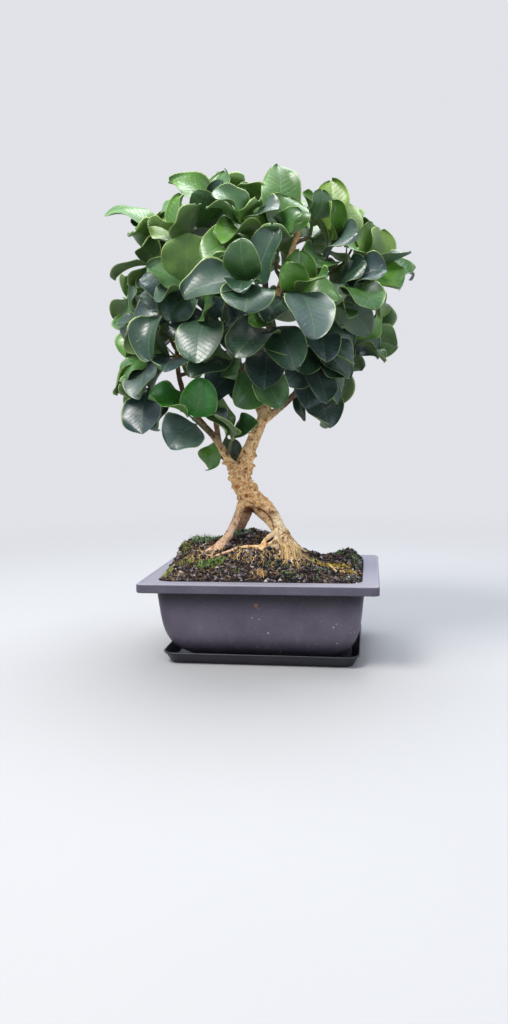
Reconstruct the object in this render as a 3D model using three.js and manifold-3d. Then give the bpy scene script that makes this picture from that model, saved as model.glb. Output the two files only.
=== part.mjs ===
// Japanese privet bonsai in a rectangular pot that stands in a drip tray.
// Millimetres, +Z up. The origin is the centre of the tray's underside,
// +X runs along the pot's long side and -Y is the front.
import * as THREE from 'three';
import { mergeVertices } from 'three/addons/utils/BufferGeometryUtils.js';
import Module from 'manifold-3d';

const wasm = await Module();
wasm.setup();

// Driving dimensions
const GAP = 0.3; // left between pieces that touch
const TRAY = { length: 170, width: 118, height: 10.6, flare: 6, wall: 1.6, floor: 1.5, corner: 11 };
const POT = {
  length: 202, // over the rim
  width: 150,
  top: 74, // height of the rim above what the tray stands on
  bottom: 5,
  rimFace: 8, // height of the rim's outer face
  rimReach: 12.2, // how far the rim stands out from the wall
  rimThickness: 2.2,
  bevel: 1,
  wall: 2,
  slope: 6, // how far the wall leans in from the rim to the foot
  tuckIn: 16, // how much further it curves in at the foot
  tuckPower: 5.3,
  corner: 12,
  footRadius: 6,
  drainRadius: 5,
};
const SOIL = { edge: 73 };
const CROWN = { centre: [-9, 2, 304], reach: [99, 80, 86] };
const LEAF = {
  petiole: 0.12, // share of the leaf's length
  petioleHalfWidth: 1.1,
  halfThickness: 0.75,
  stations: [0.12, 0.32, 0.6, 0.88],
  sunk: 0.9, // how far the root goes past the twig's centre line
  clearance: 0.55,
};
const STEM = { start: 1.8, leafy: 1.4, tip: 0.95, sides: 4, away: [-0.6, -0.3, 0, 0.4, 0.8, 1.4] };
const LEAF_LIMIT = 248;

// Vectors as plain lists
const add = (a, b) => [a[0] + b[0], a[1] + b[1], a[2] + b[2]];
const sub = (a, b) => [a[0] - b[0], a[1] - b[1], a[2] - b[2]];
const scale = (a, k) => [a[0] * k, a[1] * k, a[2] * k];
const dot = (a, b) => a[0] * b[0] + a[1] * b[1] + a[2] * b[2];
const cross = (a, b) => [
  a[1] * b[2] - a[2] * b[1],
  a[2] * b[0] - a[0] * b[2],
  a[0] * b[1] - a[1] * b[0],
];
const length = (a) => Math.sqrt(dot(a, a));
const unit = (a) => scale(a, 1 / length(a));
const mix = (a, b, t) => add(scale(a, 1 - t), scale(b, t));
const radians = (degrees) => (degrees * Math.PI) / 180;

// Part of a vector that is square to a unit axis, made one long
function squareTo(axis, vector) {
  const rest = sub(vector, scale(axis, dot(vector, axis)));
  if (length(rest) > 1e-3) return unit(rest);
  return unit(sub([0.31, 0.17, 0.93], scale(axis, dot([0.31, 0.17, 0.93], axis))));
}

// A vector turned about a unit axis
function turned(vector, axis, angle) {
  const along = scale(axis, dot(vector, axis) * (1 - Math.cos(angle)));
  const side = scale(cross(axis, vector), Math.sin(angle));
  return add(add(scale(vector, Math.cos(angle)), side), along);
}

// Random numbers from a seed, the same in every run
function seededRandom(seed) {
  let state = seed >>> 0;
  return () => {
    state = (state + 0x6d2b79f5) >>> 0;
    let t = state;
    t = Math.imul(t ^ (t >>> 15), t | 1);
    t ^= t + Math.imul(t ^ (t >>> 7), t | 61);
    return ((t ^ (t >>> 14)) >>> 0) / 4294967296;
  };
}

// Solids: a mesh is a list of points and a list of triangles
function solidFrom({ points, faces }) {
  const mesh = new wasm.Mesh({
    numProp: 3,
    vertProperties: new Float32Array(points.flat()),
    triVerts: new Uint32Array(faces.flat()),
  });
  return new wasm.Manifold(mesh);
}

function solidFromGeometry(geometry) {
  const bare = geometry.index ? geometry.toNonIndexed() : geometry.clone();
  bare.deleteAttribute('normal');
  bare.deleteAttribute('uv');
  const merged = mergeVertices(bare, 1e-4);
  const mesh = new wasm.Mesh({
    numProp: 3,
    vertProperties: new Float32Array(merged.attributes.position.array),
    triVerts: new Uint32Array(merged.index.array),
  });
  return new wasm.Manifold(mesh);
}

const joined = (solids) => solids.reduce((whole, solid) => whole.add(solid));

// Closed skin over a row of rings that all have the same number of points
function skin(rings) {
  const count = rings[0].length;
  const points = rings.flat();
  const faces = [];
  for (let i = 0; i < rings.length - 1; i += 1) {
    for (let j = 0; j < count; j += 1) {
      const a = i * count + j;
      const b = i * count + ((j + 1) % count);
      faces.push([a, b, b + count], [a, b + count, a + count]);
    }
  }
  const last = (rings.length - 1) * count;
  for (let j = 1; j < count - 1; j += 1) {
    faces.push([0, j + 1, j]);
    faces.push([last, last + j, last + j + 1]);
  }
  return { points, faces };
}

// Rounded rectangle seen from above, counter-clockwise
function roundedRing(halfX, halfY, corner, z, cornerSteps = 3) {
  const radius = Math.min(corner, halfX, halfY);
  const ring = [];
  const centres = [[1, 1], [-1, 1], [-1, -1], [1, -1]];
  centres.forEach(([sx, sy], quarter) => {
    for (let k = 0; k <= cornerSteps; k += 1) {
      const angle = ((quarter + k / cornerSteps) * Math.PI) / 2;
      ring.push([
        sx * (halfX - radius) + radius * Math.cos(angle),
        sy * (halfY - radius) + radius * Math.sin(angle),
        z,
      ]);
    }
  });
  return ring;
}

// Tapered round rod through points [x, y, z, radius]
function rod(path, sides, extra = 0) {
  const places = path.map((p) => p.slice(0, 3));
  const along = places.map((p, i) => {
    const before = places[Math.max(i - 1, 0)];
    const after = places[Math.min(i + 1, places.length - 1)];
    return unit(sub(after, before));
  });
  let across = squareTo(along[0], [1, 0, 0]);
  const reach = extra / Math.cos(Math.PI / sides);
  const rings = path.map((p, i) => {
    across = squareTo(along[i], across);
    const other = cross(along[i], across);
    const radius = p[3] + reach;
    const ring = [];
    for (let k = 0; k < sides; k += 1) {
      const angle = (2 * Math.PI * k) / sides;
      const spoke = add(scale(across, Math.cos(angle)), scale(other, Math.sin(angle)));
      ring.push(add(places[i], scale(spoke, radius)));
    }
    return ring;
  });
  return skin(rings);
}

// Drip tray: a shallow tray with flared sides
function trayMesh() {
  const { length: long, width, height, flare, wall, floor, corner } = TRAY;
  const [x, y] = [long / 2, width / 2];
  return skin([
    roundedRing(x - flare, y - flare, corner - 3, 0),
    roundedRing(x - 1, y - 1, corner, height - 2),
    roundedRing(x, y, corner, height - 1.2),
    roundedRing(x, y, corner, height),
    roundedRing(x - wall, y - wall, corner - wall, height),
    roundedRing(x - wall - 1, y - wall - 1, corner - wall, height - 2),
    roundedRing(x - flare - wall, y - flare - wall, corner - 3 - wall, floor),
  ]);
}

// How far the pot's wall is drawn in at a height
function potTuck(z) {
  const bodyTop = POT.top - POT.rimFace;
  const share = Math.min(Math.max((z - POT.bottom) / (bodyTop - POT.bottom), 0), 1);
  return POT.slope * (1 - share) + POT.tuckIn * (1 - share) ** POT.tuckPower;
}

// Heights of the wall's sections, closer together where it curves in
function wallHeights() {
  const steps = [0, 0.06, 0.14, 0.26, 0.45, 1];
  return steps.map((step) => POT.bottom + step * (POT.top - POT.rimFace - POT.bottom));
}

function potRing(z, inwards, corner = POT.corner) {
  const drawn = potTuck(z) + inwards;
  const x = POT.length / 2 - POT.rimReach - drawn;
  const y = POT.width / 2 - POT.rimReach - drawn;
  return roundedRing(x, y, Math.max(corner - inwards, 2), z);
}

// Pot: one moulding, from the foot up the wall, over the rim and down inside
function potSolid() {
  const [x, y] = [POT.length / 2, POT.width / 2];
  const under = POT.top - POT.rimThickness;
  const lip = POT.top - POT.rimFace;
  const inside = x - POT.rimReach - POT.wall;
  const insideY = y - POT.rimReach - POT.wall;
  const heights = wallHeights();
  const floor = POT.bottom + POT.wall;
  const shell = skin([
    ...heights.map((z) => potRing(z, 0)),
    potRing(under, 0),
    roundedRing(x - POT.rimThickness, y - POT.rimThickness, 3, under),
    roundedRing(x - POT.rimThickness, y - POT.rimThickness, 3, lip),
    roundedRing(x, y, 4, lip),
    roundedRing(x, y, 4, POT.top - POT.bevel),
    roundedRing(x - POT.bevel, y - POT.bevel, 4, POT.top),
    roundedRing(inside, insideY, POT.corner, POT.top),
    ...heights.slice(1).reverse().map((z) => potRing(z, POT.wall)),
    potRing(floor, POT.wall + 2),
  ]);
  let pot = solidFrom(shell);
  const footHeight = POT.bottom - TRAY.floor - GAP + 1;
  for (const [sx, sy] of [[1, 1], [-1, 1], [-1, -1], [1, -1]]) {
    const foot = new THREE.CylinderGeometry(POT.footRadius, POT.footRadius, footHeight, 12);
    foot.rotateX(Math.PI / 2);
    foot.translate(sx * 50, sy * 26, TRAY.floor + GAP + footHeight / 2);
    pot = pot.add(solidFromGeometry(foot));
  }
  for (const drainX of [-32, 32]) {
    const drain = new THREE.CylinderGeometry(POT.drainRadius, POT.drainRadius, 12, 12);
    drain.rotateX(Math.PI / 2);
    drain.translate(drainX, 0, floor);
    pot = pot.subtract(solidFromGeometry(drain));
  }
  return pot;
}

// Height of the mounded soil, highest under the trunk, with a shoulder at the left
function soilHeight(x, y) {
  const bell = (cx, cy, wx, wy) => Math.exp(-(((x - cx) / wx) ** 2) - ((y - cy) / wy) ** 2);
  const mound = 33.5 * bell(-12, 5, 52, 40);
  const shoulder = 16 * bell(-74, 12, 24, 36);
  const right = 8 * bell(76, 26, 16, 30);
  const lumps = 0.9 * Math.sin(x * 0.23 + 1) * Math.sin(y * 0.31 + 2);
  const toWall = Math.min((87 - Math.abs(x)) / 8, (61.5 - Math.abs(y)) / 12, 1);
  const rise = mound + shoulder + right + lumps;
  return SOIL.edge + rise * (0.35 + 0.65 * Math.max(toWall, 0));
}

// Soil: fills the pot, with a mounded top and plain holes for wood that enters it
function soilSolid(woodInSoil) {
  const inward = POT.wall + GAP;
  const rings = [
    potRing(POT.bottom + POT.wall + GAP, inward + 2),
    ...wallHeights().slice(1).map((z) => potRing(z, inward)),
  ];
  const [x, y] = [POT.length / 2 - POT.rimReach - inward, POT.width / 2 - POT.rimReach - inward];
  const shares = [1, 0.88, 0.72, 0.54, 0.36, 0.18];
  for (const share of shares) {
    const ring = roundedRing(x * share, y * share, POT.corner * share, 0);
    rings.push(ring.map((p) => [p[0], p[1], soilHeight(p[0], p[1])]));
  }
  let soil = solidFrom(skin(rings));
  for (const { path, sides } of woodInSoil) {
    soil = soil.subtract(solidFrom(rod(path, sides, GAP)));
  }
  return soil;
}

// Wood: rods through hand-set points [x, y, z, radius], thick ones first
const onSoil = (x, y, radius, lift) => [x, y, soilHeight(x, y) + lift, radius];

const LEGS = [
  [
    [-45, -15, 80, 4.6], [-37, -11.5, 99, 4.4], [-31.2, -9, 108, 3.8], [-26.3, -6, 119, 3.4],
    [-22.2, -3, 130, 3.8], [-19, -1, 138, 5.6],
  ],
  [[-37, 22, 80, 3.8], [-30, 16, 100, 3.7], [-23.4, 10.5, 112.5, 4], [-17.5, 6, 125, 4.8], [-14, 3, 134, 6]],
  [
    [27, -13, 80, 8], [20.5, -13, 96, 7.8], [17, -12, 105, 6.4], [13.5, -10, 114, 4.6],
    [10.5, -8.5, 122, 4.3], [4.5, -6.5, 130, 4.9], [-4, -3, 136, 6.4], [-12, 0, 140, 7.8],
  ],
  [[13, -8.5, 104, 4.2], [9, -7, 112, 3.8], [2.6, -5, 120.5, 4.4], [-10, 1, 130.5, 6]],
];
const SURFACE_ROOTS = [
  [
    onSoil(15, -14, 2.6, 3), onSoil(4, -17, 1.9, 1.4), onSoil(-14, -19, 1.5, 0.8),
    onSoil(-36, -21.5, 1.3, 0.5), onSoil(-62, -26, 1, -1.4),
  ],
  [[15, -13, 111, 3], [7, -15.5, 107, 2.3], [1, -17, 102.5, 1.9], onSoil(-3, -20, 1.4, -1.3)],
  [onSoil(23, -12, 4.6, 5), onSoil(31, -12, 2.8, 1.4), onSoil(42, -13, 1.6, -1.4)],
  [onSoil(-37, -12, 3.6, 4), onSoil(-46, -13, 2.2, 1.1), onSoil(-57, -15, 1.4, -1.4)],
  [onSoil(21, -15, 4, 4), onSoil(23, -21, 2.4, 1.2), onSoil(25, -28, 1.5, -1.4)],
  [onSoil(22, -8, 4.4, 4.4), onSoil(30, 3, 2.6, 1), onSoil(38, 13, 1.6, -1.4)],
  [onSoil(-31, 18, 3.2, 3.4), onSoil(-40, 26, 2.2, 0.8), onSoil(-51, 34, 1.5, -1.4)],
];
const TRUNK = [
  [-13.5, 0, 131, 8.6], [-14.5, 0, 137, 9.8], [-16, 0, 142, 10], [-19, 0, 148, 9.8],
  [-22, 0, 155, 9.6], [-23, 0, 162, 9.8], [-22.5, 0, 168, 9],
];
const LIMBS = {
  right: [
    [-20, 0, 162, 8.6], [-17.5, 0, 173, 7.1], [-12, 0, 186, 6], [-4, 0, 202, 5.1], [4, 0, 224, 4.7],
    [7, 1, 242, 4.3], [8, 2, 264, 3.9], [6, 3, 290, 3.4], [3, 4, 318, 3], [2, 4, 344, 2.5],
    [0, 4, 366, 2.1],
  ],
  left: [
    [-24.5, 0, 160, 6.6], [-31, 0, 168.5, 4.5], [-37, -0.5, 180, 3.6], [-44, -3, 193, 3.3],
    [-56, -6, 207, 2.9], [-68, -10, 224, 2.7], [-75, -8, 248, 2.4], [-78, 0, 272, 2.2],
    [-78, 8, 298, 1.9],
  ],
  leftInner: [
    [-41, -1.5, 187, 2.8], [-44, 5, 204, 2.7], [-50, 16, 224, 2.4], [-55, 30, 246, 2.2],
    [-58, 38, 270, 1.9],
  ],
  thinLeft: [
    [-2, 0, 211, 3.2], [-8, 1, 226, 2.8], [-15, 5, 244, 2.5], [-28, 10, 266, 2.3],
    [-42, 12, 292, 2.1], [-50, 12, 320, 1.8],
  ],
  lowRight: [
    [1, 0, 208, 3.6], [18, -3, 221, 3.2], [32, -4, 233, 2.8], [46, -3, 251, 2.5], [58, 0, 274, 2.3],
    [64, 4, 300, 2.1], [64, 6, 326, 1.8],
  ],
  front: [
    [7, 0, 246, 3], [5, -18, 260, 2.7], [1, -36, 274, 2.4], [-5, -50, 294, 2.1], [-8, -52, 318, 1.8],
  ],
  back: [
    [7, 2, 246, 3], [10, 24, 262, 2.7], [8, 46, 280, 2.4], [2, 58, 304, 2.1], [-2, 58, 330, 1.8],
  ],
  leader: [
    [6, 3, 292, 3], [14, -16, 310, 2.8], [24, -32, 330, 2.6], [33, -40, 350, 2.4],
    [40, -45, 367, 2.4], [42, -47, 374, 2.6],
  ],
  backRight: [[44, -3, 248, 2.4], [54, 16, 260, 2.2], [64, 34, 278, 2]],
  backLeft: [[-14, 5, 242, 2.4], [-24, 26, 256, 2.2], [-34, 44, 276, 2]],
};

// Shoots seen from the front: twig points, then each leaf as its place along the twig, its tip,
// the way its upper face looks, and its width, arch and fold (degrees).
const FRONT_SHOOTS = [
  ['upper_left', [[-73, 0, 335], [-83, -6, 351], [-90, -10, 367]], [
    [0.8, [-133, -22, 387], [-2, -5, 8], 35, 110, 10],
    [1, [-60, -18, 392], [-6, -5, 6], 37, 105, 8],
    [0.5, [-78, -2, 395], [-3, -9, 2], 28, 20, 14],
    [0.2, [-61, 8, 388], [2, -9, 3], 32, 50, 8],
  ]],
  ['left_arc', [[-70, -16, 316], [-79, -20, 330], [-87, -22, 340]], [
    [1, [-127, -18, 331], [-3, -2, 10], 29, 70, 6],
    [0.9, [-93, -37, 321], [-6, -5, 5], 31, 90, 4],
  ]],
  ['left_centre', [[-45, -28, 312], [-55, -56, 316]], [
    [0.9, [-51, -64, 357], [-1, 8, 4], 42, -35, -16],
    [1, [-84, -66, 330], [-1, -7, 6], 27, 45, 8],
    [0.6, [-70, -68, 290], [1, -9, 3], 31, 50, 10],
  ]],
  ['left_mid', [[-54, -22, 294], [-73, -46, 299]], [
    [0.7, [-96, -50, 312], [-2, -7, 6], 31, 50, 8],
    [1, [-84, -66, 257], [-5, -7, 4], 31, 80, 12],
  ]],
  ['left_low_mid', [[-86, -6, 286], [-101, -14, 296]], [
    [0.9, [-128, -14, 294], [-2, -6, 8], 26, 45, 10],
    [1, [-113, -32, 263], [-6, -7, 3], 27, 60, 24],
  ]],
  ['centre_front', [[8, -56, 306], [2, -86, 312]], [
    [1, [-46, -106, 302], [0, -7, 7], 38, 40, 8],
    [0.95, [4, -122, 287], [1, -5, 8], 40, 45, 6],
    [0.5, [24, -86, 353], [-3, -9, 4], 35, 35, 8],
  ]],
  ['centre_upper', [[6, -28, 344], [-4, -54, 363]], [
    [1, [-33, -72, 376], [-1, -5, 9], 24, 45, 10],
    [0.8, [-19, -46, 398], [2, -6, 7], 34, 55, -6],
    [0.4, [-35, -84, 334], [-1, -9, 4], 36, 55, 8],
    [0.9, [24, -76, 371], [-4, -5, 8], 30, 60, 16],
  ]],
  ['top_left', [[-25, -4, 357], [-35, -24, 381]], [
    [0.9, [-72, -34, 407], [-3, -6, 8], 29, 75, 12],
    [0.5, [-47, -52, 389], [-2, -10, 2], 30, 20, 10],
    [0.8, [-38, 8, 420], [-5, -7, 2], 25, 30, 12],
    [1, [-24, -40, 400], [1, -8, 3], 18, 50, 14],
  ]],
  ['top_round', [[17, -38, 332], [23, -56, 353]], [
    [0.9, [12, -54, 396], [2, -9, 4], 44, 42, 6],
    [0.5, [26, -26, 413], [4, -8, 3], 33, 50, 6],
    [0.8, [17, -86, 356], [0, -5, 9], 26, -55, 8],
  ]],
  ['top_stub', [[46, -38, 356], [48, -44, 366]], [
    [0.9, [48, -56, 392], [2, -7, 7], 26, 55, 4],
  ]],
  ['top_right', [[53, -14, 330], [64, -28, 355]], [
    [1, [62, -24, 402], [-1, -9, 3], 28, 35, 6],
    [0.8, [64, -48, 381], [6, -6, 3], 22, 30, 30],
    [0.6, [75, -2, 390], [7, -5, 5], 30, 70, 8],
    [0.4, [82, -62, 352], [1, -8, 5], 33, 40, 8],
    [0.9, [42, -52, 361], [-3, -5, 8], 22, 40, 10],
  ]],
  ['right_high', [[72, -2, 320], [93, -12, 334]], [
    [0.8, [94, -8, 370], [-5, 6, 4], 30, -30, -10],
    [1, [125, -24, 344], [1, -2, 10], 32, -35, 22],
    [0.9, [118, -30, 313], [1, -7, 6], 31, 50, 6],
    [0.5, [103, -34, 290], [8, -2, 5], 26, 60, 14],
    [0.3, [108, 2, 298], [9, -1, 3], 24, 50, 14],
  ]],
  ['right_mid', [[52, -16, 310], [73, -44, 315]], [
    [0.9, [99, -68, 292], [4, -7, 6], 34, 55, 6],
    [0.6, [93, -28, 278], [0, 8, 2], 28, -50, -14],
    [1, [62, -72, 296], [0, 8, -3], 22, -40, -8],
    [0.8, [92, -62, 322], [1, -8, 4], 26, 40, 8],
  ]],
  ['right_front', [[28, -44, 300], [38, -75, 305]], [
    [1, [54, -108, 266], [2, -6, 7], 37, 75, 6],
    [0.9, [62, -98, 311], [0, -4, 9], 22, 35, 6],
    [0.6, [15, -96, 283], [-2, -8, 5], 31, 50, 8],
  ]],
  ['right_low_mid', [[36, -14, 290], [60, -44, 300]], [
    [0.9, [72, -74, 281], [8, -4, 3], 22, -45, 14],
    [0.5, [82, -44, 266], [3, -8, 3], 34, 40, 6],
  ]],
  ['right_inner', [[30, -18, 272], [53, -48, 277]], [
    [0.8, [80, -60, 249], [5, -6, 6], 24, 45, 14],
    [1, [60, -82, 252], [1, -9, 4], 28, 45, 10],
    [0.4, [78, -38, 241], [2, -6, 7], 28, 40, 10],
  ]],
  ['right_hang', [[24, -8, 254], [46, -34, 258]], [
    [1, [60, -62, 222], [1, -7, 6], 26, -30, 8],
    [0.6, [68, -32, 220], [5, -5, 5], 26, 45, 8],
  ]],
  ['right_low', [[26, 14, 241], [41, 9, 238]], [
    [1, [59, -36, 200], [3, -7, 4], 34, 40, 10],
    [0.5, [32, -14, 208], [-2, -6, 3], 13, 100, 16],
  ]],
  ['centre_low', [[10, -26, 262], [18, -64, 283]], [
    [1, [37, -92, 246], [0, -9, 3], 32, 45, 8],
    [0.8, [0, -104, 247], [0, -8, 4], 38, 50, 6],
    [0.4, [12, -84, 231], [0, -9, 3], 34, 40, 6],
  ]],
  ['left_front_low', [[-20, -16, 284], [-37, -54, 293]], [
    [0.8, [-68, -76, 288], [0, -8, 5], 36, 40, 6],
    [1, [-40, -90, 252], [0, -8, 6], 39, 45, 8],
  ]],
  ['mid_low', [[-8, -14, 252], [-18, -44, 256]], [
    [0.6, [-46, -42, 254], [-1, 5, 8], 26, 30, 8],
    [1, [-48, -80, 244], [0, -5, 8], 30, 50, 10],
  ]],
  ['left_low', [[-56, -12, 254], [-88, -40, 262]], [
    [1, [-93, -72, 227], [-4, -8, 3], 34, 35, 6],
    [0.9, [-128, -32, 233], [-8, -3, 5], 28, 60, 8],
    [0.3, [-70, -80, 245], [0, -7, 7], 34, 45, 8],
    [0.6, [-83, -72, 268], [-2, -8, 2], 16, 30, 20],
  ]],
  ['left_bottom', [[-80, -20, 226], [-96, -32, 236]], [
    [0.9, [-118, -26, 208], [-7, -6, 2], 30, 50, 8],
    [1, [-94, -60, 198], [-2, -9, 1], 38, 35, 4],
  ]],
  ['new_pair', [[-50, -16, 200], [-55, -42, 210]], [
    [1, [-87, -64, 229], [-1, -6, 8], 31, 35, 22],
    [0.97, [-41, -60, 243], [3, -8, 4], 31, 60, 12],
    [0.6, [-72, -60, 187], [0, -9, 2], 37, 40, 4],
  ]],
  ['fork', [[-30, -8, 184], [-25, -22, 194]], [
    [0.8, [-50, -36, 226], [2, -6, 7], 28, 50, 10],
    [1, [-42, -54, 215], [2, -6, 7], 26, 40, 10],
    [0.9, [-2, -36, 206], [0, -8, 6], 25, 35, 8],
  ]],
  ['fork_back', [[-40, 12, 186], [-37, 17, 194]], [
    [0.4, [-54, 14, 164], [-3, -8, 3], 26, 35, 16],
    [0.9, [-29, 17, 170], [1, -9, 2], 22, 30, 10],
  ]],
];

// Low shoots with no more leaves than the front view shows, so that the fork stays in sight
const BARE_SHOOTS = ['shoot_fork', 'shoot_fork_back', 'shoot_new_pair', 'shoot_top_stub'];

// Blades: midrib on an arc from the root to the tip, with a folded and waved face
function leafFrame(leaf) {
  const chord = length(sub(leaf.tip, leaf.root));
  const along = unit(sub(leaf.tip, leaf.root));
  const up = squareTo(along, leaf.face);
  const side = cross(along, up);
  const bend = Math.abs(leaf.arch) < 0.02 ? 0.02 : leaf.arch;
  const span = (chord * bend) / 2 / Math.sin(bend / 2);
  return { along, up, side, bend, span };
}

function halfWidthAt(leaf, t) {
  if (t <= LEAF.petiole) return LEAF.petioleHalfWidth;
  const u = (t - LEAF.petiole) / (1 - LEAF.petiole);
  const outline = Math.sin(Math.PI * Math.min(u, 1) ** 0.97);
  return Math.max((leaf.width / 2) * Math.sqrt(Math.max(outline, 0)), LEAF.petioleHalfWidth);
}

function midribAt(leaf, frame, t) {
  const { along, up, bend, span } = frame;
  const angle = bend / 2 - bend * t;
  const forward = (span / bend) * (Math.sin(bend / 2) - Math.sin(angle));
  const rise = (span / bend) * (Math.cos(angle) - Math.cos(bend / 2));
  const point = add(add(leaf.root, scale(along, forward)), scale(up, rise));
  const normal = sub(scale(up, Math.cos(angle)), scale(along, Math.sin(angle)));
  return { point, normal };
}

// Edge point of a blade, with s from -1 at one edge to 1 at the other
function bladePoint(leaf, frame, t, s, grow = 0) {
  const { point, normal } = midribAt(leaf, frame, t);
  const half = halfWidthAt(leaf, t) + grow;
  const reach = Math.abs(s) * half;
  const blade = Math.max(t - LEAF.petiole, 0);
  const wave = leaf.wave * s * s * Math.sin(9 * t + leaf.phase + s) * Math.min(blade * 5, 1);
  const lift = reach * Math.sin(leaf.fold) * Math.min(blade * 5, 1) + wave;
  const out = Math.sign(s) * reach * Math.cos(leaf.fold);
  return add(add(point, scale(frame.side, out)), scale(normal, lift));
}

// Faces of a blade: a point sunk in the twig, four diamond sections and the tip,
// split alike above and below
function bladeFaces() {
  const faces = [];
  const sections = LEAF.stations.length;
  for (let k = 0; k < 4; k += 1) faces.push([0, 1 + ((k + 1) % 4), 1 + k]);
  for (let i = 0; i < sections - 1; i += 1) {
    const a = 1 + 4 * i;
    const b = a + 4;
    faces.push([a, a + 1, b], [a + 1, b + 1, b]);
    faces.push([a + 1, a + 2, b + 2], [a + 1, b + 2, b + 1]);
    faces.push([a + 2, a + 3, b + 2], [b + 2, a + 3, b + 3]);
    faces.push([a + 3, a, b], [a + 3, b, b + 3]);
  }
  const end = 1 + 4 * (sections - 1);
  for (let k = 0; k < 4; k += 1) faces.push([end + k, end + ((k + 1) % 4), end + 4]);
  return faces;
}

function edgesOf(faces) {
  const seen = new Map();
  for (const [a, b, c] of faces) {
    for (const [p, q] of [[a, b], [b, c], [c, a]]) {
      seen.set(`${Math.min(p, q)} ${Math.max(p, q)}`, [p, q]);
    }
  }
  return [...seen.values()];
}

const BLADE_FACES = bladeFaces();
const BLADE_EDGES = edgesOf(BLADE_FACES);

function bladeMesh(leaf, grow = 0) {
  const frame = leafFrame(leaf);
  const start = unit(sub(midribAt(leaf, frame, LEAF.petiole).point, leaf.root));
  const points = [sub(leaf.root, scale(start, LEAF.sunk))];
  for (const t of LEAF.stations) {
    const { point, normal } = midribAt(leaf, frame, t);
    const half = LEAF.halfThickness + grow;
    points.push(bladePoint(leaf, frame, t, -1, grow));
    points.push(add(point, scale(normal, half)));
    points.push(bladePoint(leaf, frame, t, 1, grow));
    points.push(add(point, scale(normal, -half)));
  }
  const tip = midribAt(leaf, frame, 1).point;
  points.push(add(tip, scale(frame.along, grow)));
  return { points, faces: BLADE_FACES };
}

// Clearance: two bodies cross where an edge of one goes through a face of the other
function bodyOf(mesh, edges = edgesOf(mesh.faces)) {
  const centre = scale(mesh.points.reduce(add), 1 / mesh.points.length);
  const radius = Math.max(...mesh.points.map((p) => length(sub(p, centre))));
  return { points: mesh.points, faces: mesh.faces, edges, centre, radius };
}

function edgeHitsFace(p, q, a, b, c) {
  const way = sub(q, p);
  const ab = sub(b, a);
  const ac = sub(c, a);
  const h = cross(way, ac);
  const det = dot(ab, h);
  if (Math.abs(det) < 1e-9) return false;
  const s = sub(p, a);
  const u = dot(s, h) / det;
  if (u < 0 || u > 1) return false;
  const k = cross(s, ab);
  const v = dot(way, k) / det;
  if (v < 0 || u + v > 1) return false;
  const t = dot(ac, k) / det;
  return t >= 0 && t <= 1;
}

function edgesThrough(first, second) {
  for (const [i, j] of first.edges) {
    const p = first.points[i];
    const q = first.points[j];
    for (const [a, b, c] of second.faces) {
      if (edgeHitsFace(p, q, second.points[a], second.points[b], second.points[c])) return true;
    }
  }
  return false;
}

function bodiesCross(first, second) {
  if (length(sub(first.centre, second.centre)) > first.radius + second.radius) return false;
  return edgesThrough(first, second) || edgesThrough(second, first);
}

const crossesAny = (body, others) => others.some((other) => bodiesCross(body, other));

// Straight pieces of a rod, grown by the clearance
function rodBodies(path, sides, grow = LEAF.clearance) {
  const bodies = [];
  for (let i = 0; i < path.length - 1; i += 1) {
    bodies.push(bodyOf(rod(path.slice(i, i + 2), sides, grow)));
  }
  return bodies;
}

// Point and direction at a share of the way along a line of points
function alongLine(points, share) {
  const steps = points.slice(1).map((p, i) => length(sub(p, points[i])));
  let rest = share * steps.reduce((a, b) => a + b, 0);
  for (let i = 0; i < steps.length; i += 1) {
    if (rest <= steps[i] || i === steps.length - 1) {
      const way = unit(sub(points[i + 1], points[i]));
      return { point: add(points[i], scale(way, rest)), way };
    }
    rest -= steps[i];
  }
  return null;
}

// Shoots that the front view doesn't fix: spread evenly over the crown
function spreadShoots(random) {
  const shoots = [];
  const total = 58;
  const golden = Math.PI * (3 - Math.sqrt(5));
  const taken = FRONT_SHOOTS.map(([, twig]) => twig[twig.length - 1]);
  for (let i = 0; i < total; i += 1) {
    const z = 1 - (2 * (i + 0.5)) / total;
    const round = Math.sqrt(1 - z * z);
    const turn = golden * i + 0.4;
    const jitter = [random() - 0.5, random() - 0.5, random() - 0.5];
    const ray = [round * Math.cos(turn), round * Math.sin(turn), z];
    const reach = 0.94 + 0.12 * random();
    const spot = ray.map((r, k) => CROWN.centre[k] + CROWN.reach[k] * reach * r + 8 * jitter[k]);
    const near = taken.some((other) => length(sub(other, spot)) < 31);
    const underTrunk = ray[2] < -0.72;
    if (near || underTrunk) continue;
    taken.push(spot);
    const way = unit(add(ray, [0, 0, 0.35]));
    const reachBack = 26 + 10 * random();
    const start = sub(spot, scale(way, reachBack));
    const bow = scale(squareTo(way, [0, 0, -1]), 2 + 2 * random());
    const middle = add(mix(start, spot, 0.5), bow);
    shoots.push({ name: `shoot_${shoots.length + 1}`, twig: [start, middle, spot], leaves: [] });
  }
  return shoots;
}

const limbSides = (path) => (path[0][3] > 5 ? 8 : 5);

// Places along the limbs where a stem may start
function limbNodes() {
  const nodes = [];
  for (const [name, path] of Object.entries(LIMBS)) {
    path.slice(0, -1).forEach((p, i) => {
      const q = path[i + 1];
      const way = unit(sub(q, p));
      for (const share of [0, 0.33, 0.67]) {
        const place = p.map((value, axis) => value + (q[axis] - value) * share);
        const stub = name === 'leader' && place[2] > 358;
        if (place[2] > 176 && !stub) nodes.push({ point: place.slice(0, 3), radius: place[3], way });
      }
    });
  }
  return nodes;
}

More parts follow.
